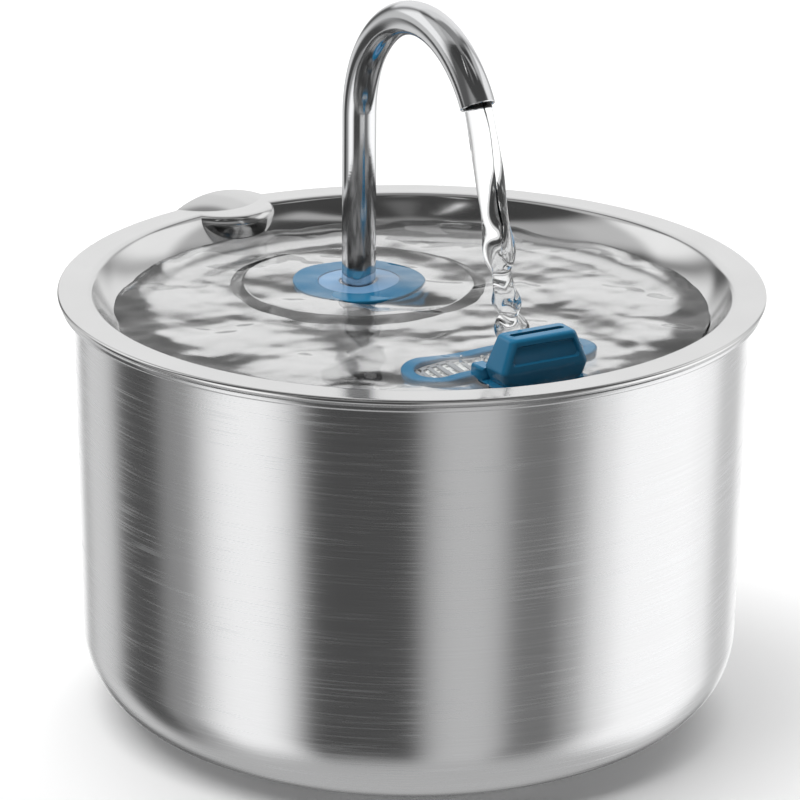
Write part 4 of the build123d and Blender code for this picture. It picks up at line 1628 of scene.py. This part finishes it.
@dataclass
class Water:
    """The rippled pool in the tray, the stream that falls into it and its splash.

    The bed's points are a radius and a depth each.
    """

    shop: Workshop
    radius: float = 87.95
    bed: tuple[Pair, ...] = (
        (1.0, 5.32),
        (40.0, 5.32),
        (74.0, 5.32),
        (78.5, 4.7),
        (82.0, 3.6),
        (84.6, 2.4),
        (86.6, 1.2),
    )
    bed_overlap: float = 0.3
    ring_count: int = 140
    segments: int = 500
    landing: Point = (0.0, -58.5)
    ripple_height: float = 0.19
    ripple_length: float = 9.5
    ripple_reach: float = 26.0
    mound_height: float = 0.9
    mound_radius: float = 5.5
    wave_lengths: tuple[float, ...] = (38.0, 28.0, 21.0, 16.0, 12.0, 9.0, 6.8)
    waves_per_length: int = 3
    wave_slope: float = 0.025
    slope_falloff: float = 0.85
    crest_bend: Pair = (1.1, 0.6)
    seed: int = 7
    bead_count: int = 26
    bead_radius: Pair = (0.35, 1.1)
    bead_reach: Pair = (5.0, 17.0)

    def waves(self) -> list[tuple[float, float, float, float]]:
        """Wave number, heading, phase and height of random waves of several lengths.

        Returns:
            The four numbers of each wave.
        """
        chance = np.random.default_rng(self.seed)
        waves = []
        for length in self.wave_lengths:
            for _ in range(self.waves_per_length):
                heading, phase = chance.uniform(0, FULL_TURN, 2)
                number = FULL_TURN / length
                slope = self.wave_slope * (length / 20) ** self.slope_falloff
                waves.append((number, heading, phase, slope / number * chance.uniform(0.6, 1.2)))
        return waves

    def surface(self, x: np.ndarray, y: np.ndarray) -> np.ndarray:
        """Height of the pool's surface over its level, at each x and y.

        Args:
            x: X of each place.
            y: Y of each place.

        Returns:
            The heights.
        """
        total = np.zeros_like(x)
        for number, heading, phase, size in self.waves():
            along = x * math.cos(heading) + y * math.sin(heading)
            across = y * math.cos(heading) - x * math.sin(heading)
            bend = self.crest_bend[0] * np.sin(self.crest_bend[1] * number * across + phase)
            total += size * np.sin(number * along + phase + bend)
        away = np.hypot(x - self.landing[0], y - self.landing[1])
        ripple = self.ripple_height * np.cos(FULL_TURN * away / self.ripple_length)
        mound = self.mound_height * np.exp(-((away / self.mound_radius) ** 2))
        return total + ripple * np.exp(-away / self.ripple_reach) + mound

    def pool(self) -> Mesh:
        """Fill the tray: a rippled top, and a bottom and a middle that lie in the tray's sheet.

        Returns:
            The closed mesh.
        """
        rings = turned([(radius, LEVELS.water - depth) for radius, depth in self.bed], self.segments)
        angles = np.arange(self.segments) * FULL_TURN / self.segments
        for radius in np.linspace(self.radius, 0.4, self.ring_count):
            x, y = radius * np.cos(angles), radius * np.sin(angles)
            rings.append([Vector(place) for place in zip(x, y, LEVELS.water + self.surface(x, y))])
        floor, top = LEVELS.dish_floor, LEVELS.platform_top
        slope = (LEVELS.platform_radius - LEVELS.platform_top_radius) / (top - floor)
        foot = LEVELS.platform_radius - self.bed_overlap + 2 * slope
        head = LEVELS.platform_top_radius - self.bed_overlap
        profile = [(0, floor - 2), (foot, floor - 2), (head, top - 0.4), (0, top - 0.4)]
        hollow = lathe(profile, 256, (0.0, LEVELS.platform_y))
        return carve(skin(rings, capped=True), (Step.CUT, hollow))

    def beads(self) -> Mesh:
        """Scatter small drops and bubbles round the place where the stream lands.

        Returns:
            The mesh, in its place.
        """
        sizes = {
            "Count": self.bead_count,
            "Nearest": self.bead_reach[0] * MM,
            "Farthest": self.bead_reach[1] * MM,
            "Smallest": self.bead_radius[0] * MM,
            "Largest": self.bead_radius[1] * MM,
            "Seed": self.seed,
        }
        recipe = Recipe("splash_recipe", sizes)
        count, nearest, farthest, smallest, largest, seed = recipe.inputs()
        turn = recipe.chance(0.0, FULL_TURN, seed)
        reach = recipe.chance(nearest, farthest, seed + 1)
        x, y = (recipe.maths(operation, turn) * reach for operation in ("COSINE", "SINE"))
        place = recipe.vector(x, y)
        radius = recipe.chance(smallest, largest, seed + 2)
        spread = {
            "Points": recipe.node("GeometryNodePoints", {"Count": count, "Position": place}),
            "Instance": recipe.node("GeometryNodeMeshIcoSphere", {"Radius": 1.0, "Subdivisions": 3}),
            "Scale": recipe.vector(radius, radius, radius),
        }
        drops = recipe.node("GeometryNodeInstanceOnPoints", spread)
        return recipe.grow(drops, Finish.WATER, (*self.landing, LEVELS.water + 0.25))

    def build(self, faucet: Faucet) -> None:
        """Build the pool, the stream and its splash.

        Args:
            faucet: The faucet that the stream leaves.
        """
        stream = Stream().mesh(*faucet.centre_line()[-1], Vector((*self.landing, LEVELS.water - 0.4)))
        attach(self.shop.make("water_pool", self.pool(), Finish.WATER, 60.0), "tray")
        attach(self.shop.make("water_stream", stream, Finish.WATER, 80.0), "faucet")
        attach(self.shop.make("water_beads", self.beads(), Finish.WATER, 80.0), "faucet")


# ---------------------------------------------------------------------------
# Studio
# ---------------------------------------------------------------------------
@dataclass(frozen=True)
class Strip:
    """A tall soft light or a gap between lights, at one side of the object.

    Angles are in degrees, from the camera's side round towards the picture's right.
    """

    side: float
    half_width: float
    fade: float
    level: float


@dataclass(frozen=True)
class Belt:
    """A row of strips all round the object, up to one height of the sky, in degrees over level."""

    top: float
    fade: float
    level: float
    strips: tuple[Strip, ...] = ()


# bright and dark bands round the horizon
UPRIGHT = (
    Strip(-58.5, 2.0, 24.0, 1.22),
    Strip(-87.0, 1.0, 12.0, 0.28),
    Strip(20.0, 2.0, 19.0, 0.60),
    Strip(44.0, 1.0, 7.0, 0.14),
    Strip(60.5, 2.0, 10.0, 0.36),
    Strip(96.5, 13.0, 26.0, 1.30),
    Strip(140.0, 6.0, 18.0, 0.62),
    Strip(-136.0, 4.0, 16.0, 0.70),
)
# what the dish's sides show
LOW_SKY = (
    Strip(176.0, 12.0, 22.0, 0.80),
    Strip(142.0, 6.0, 16.0, 0.14),
    Strip(-115.0, 10.0, 20.0, 0.55),
    Strip(118.0, 10.0, 20.0, 0.55),
)
# what the rim and the water show
MIDDLE_SKY = (
    Strip(180.0, 24.0, 20.0, 0.86),
    Strip(-110.0, 14.0, 18.0, 1.00),
    Strip(114.0, 14.0, 18.0, 0.95),
    Strip(0.0, 30.0, 30.0, 0.22),
)
# what the hood shows
HIGH_SKY = (
    Strip(180.0, 20.0, 24.0, 0.80),
    Strip(-106.0, 8.0, 24.0, 0.60),
    Strip(110.0, 8.0, 24.0, 0.50),
)
# what the dish's far wall and the faucet's bend show
UPPER_SKY = (
    Strip(180.0, 26.0, 45.0, 0.24),
    Strip(-105.0, 8.0, 24.0, 0.45),
    Strip(-26.0, 0.5, 3.0, 1.50),
    Strip(72.0, 4.0, 10.0, 0.50),
    Strip(6.0, 2.0, 10.0, 0.12),
)
# from straight under the object to straight overhead
BELTS = (
    Belt(-58.0, 18.0, 0.58),
    Belt(-31.0, 5.0, 0.075, UPRIGHT),
    Belt(-9.0, 6.0, 0.075, (*UPRIGHT, Strip(180.0, 10.0, 22.0, 1.25))),
    Belt(10.0, 6.0, 0.12, LOW_SKY),
    Belt(36.0, 6.0, 0.12, MIDDLE_SKY),
    Belt(54.0, 8.0, 0.07, HIGH_SKY),
    Belt(80.0, 10.0, 0.06, UPPER_SKY),
    Belt(90.0, 1.0, 0.30),
)


@dataclass(frozen=True)
class Studio:
    """Camera, lamps, floor and surroundings. Metres, and degrees but for the roll."""

    azimuth: float = 30.0
    pitch: float = 19.26
    roll: float = 0.0077
    lens: float = 191.5
    distance: float = 1.2548
    shift: Pair = (0.00355, -0.03417)
    lamp_target: Triple = (0.0, 0.0, 0.08)
    floor_size: float = 6.0
    white: Triple = (1.0, 1.0, 1.0)

    def camera(self) -> None:
        """Place the camera in front and a little to the left, looking down on the rim."""
        turn, tilt = math.radians(self.azimuth), math.radians(self.pitch)
        away = Vector((math.sin(turn), math.cos(turn), 0))
        right = Vector((math.cos(turn), -math.sin(turn), 0))
        up = Vector((0, 0, 1))
        forward = away * math.cos(tilt) - up * math.sin(tilt)
        down = -away * math.sin(tilt) - up * math.cos(tilt)
        rolled_right = right * math.cos(self.roll) - down * math.sin(self.roll)
        rolled_down = right * math.sin(self.roll) + down * math.cos(self.roll)
        target = Vector((0, 0, LEVELS.rim * MM))
        off_axis = rolled_right * self.shift[0] + rolled_down * self.shift[1]
        place = target - off_axis - forward * self.distance
        data = bpy.data.cameras.new("camera")
        data.lens, data.sensor_width = self.lens, 36.0
        data.clip_start, data.clip_end = 0.01, 50.0
        holder = link("camera", data)
        basis = Matrix((rolled_right, -rolled_down, -forward)).transposed()
        holder.matrix_world = Matrix.Translation(place) @ basis.to_4x4()
        bpy.context.scene.camera = holder

    def lamp(self, name: str, place: Triple, size: float, power: float) -> None:
        """Hang a square soft lamp that points at the object.

        Args:
            name: Name of the lamp.
            place: Where it hangs.
            size: Length of its side.
            power: Its power in watts.
        """
        data = bpy.data.lights.new(name, "AREA")
        data.shape, data.size, data.energy = "SQUARE", size, power
        holder = link(name, data)
        holder.location = place
        holder.rotation_mode = "QUATERNION"
        holder.rotation_quaternion = (Vector(place) - Vector(self.lamp_target)).to_track_quat("Z", "Y")
        holder.visible_glossy = False
        holder.visible_transmission = False

    def floor(self) -> None:
        """Lay the pale floor."""
        mesh = bmesh.new()
        bmesh.ops.create_grid(mesh, x_segments=1, y_segments=1, size=self.floor_size)
        floor = as_object("floor", mesh)
        pale = Material("pale_floor")
        pale.surface(base_color=(0.93, 0.93, 0.93), roughness=0.9, specular_ior_level=0.1)
        floor.data.materials.append(pale.data)
        floor.visible_glossy = False

    def lights_round(self, belt: Belt, x: Value, y: Value, flat: Value) -> Any:
        """Brightness of a belt in one direction.

        Args:
            belt: The belt.
            x: X of the direction.
            y: Y of the direction.
            flat: Length of the direction's level part.

        Returns:
            The brightness, which is a plain number where the belt has no strips.
        """
        total: Any = belt.level
        for strip in belt.strips:
            angle = math.radians(-90 - self.azimuth + strip.side)
            facing = (x * math.cos(angle) + y * math.sin(angle)) / flat
            edge = math.cos(math.radians(min(180.0, strip.half_width + strip.fade)))
            total = facing.smooth(edge, math.cos(math.radians(strip.half_width))) * strip.level + total
        return total

    def surroundings(self) -> None:
        """Light the scene from all round with soft strips, and keep the background plain."""
        world = bpy.data.worlds.new("surroundings")
        bpy.context.scene.world = world
        world.use_nodes = True
        sky = Shader(world.node_tree)
        where = sky.node("ShaderNodeTexCoord", output="Generated")
        parts = sky.node("ShaderNodeSeparateXYZ", {0: where})
        x, y, z = (Value(sky, socket) for socket in parts.socket.node.outputs)
        flat = (x * x + y * y + 0.0001) ** 0.5
        level: Any = BELTS[0].level
        for under, belt in zip(BELTS, BELTS[1:]):
            start, end = (math.sin(math.radians(under.top + turn)) for turn in (0.0, under.fade))
            share = z.smooth(start, end)
            level = (1 - share) * level + share * self.lights_round(belt, x, y, flat)
        seen = {
            0: sky.node("ShaderNodeLightPath", output="Is Camera Ray"),
            1: sky.node("ShaderNodeBackground", {"Color": sky.rgba(self.white), "Strength": level}),
            2: sky.node("ShaderNodeBackground", {"Color": sky.rgba(self.white), "Strength": 1.0}),
        }
        sky.node("ShaderNodeOutputWorld", {"Surface": sky.node("ShaderNodeMixShader", seen)})

    def build(self) -> None:
        """Set up the whole studio."""
        self.camera()
        self.floor()
        self.surroundings()
        self.lamp("key_lamp", (-0.45, 0.10, 1.3), 1.2, 18.0)
        self.lamp("fill_lamp", (0.75, 0.35, 1.1), 1.0, 8.0)
        bpy.context.scene.view_settings.view_transform = "Standard"


def main() -> None:
    """Build the fountain's looks, piece by piece."""
    logging.basicConfig(level=logging.INFO, format="%(name)s: %(message)s")
    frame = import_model()
    shop = Workshop(frame)
    faucet = Faucet(shop)
    Bowl(shop).build()
    Tray(shop).build()
    faucet.build()
    Cassette(shop).build()
    Water(shop).build(faucet)
    shop.paint_rest()
    Studio().build()


if __name__ == "__main__":
    main()
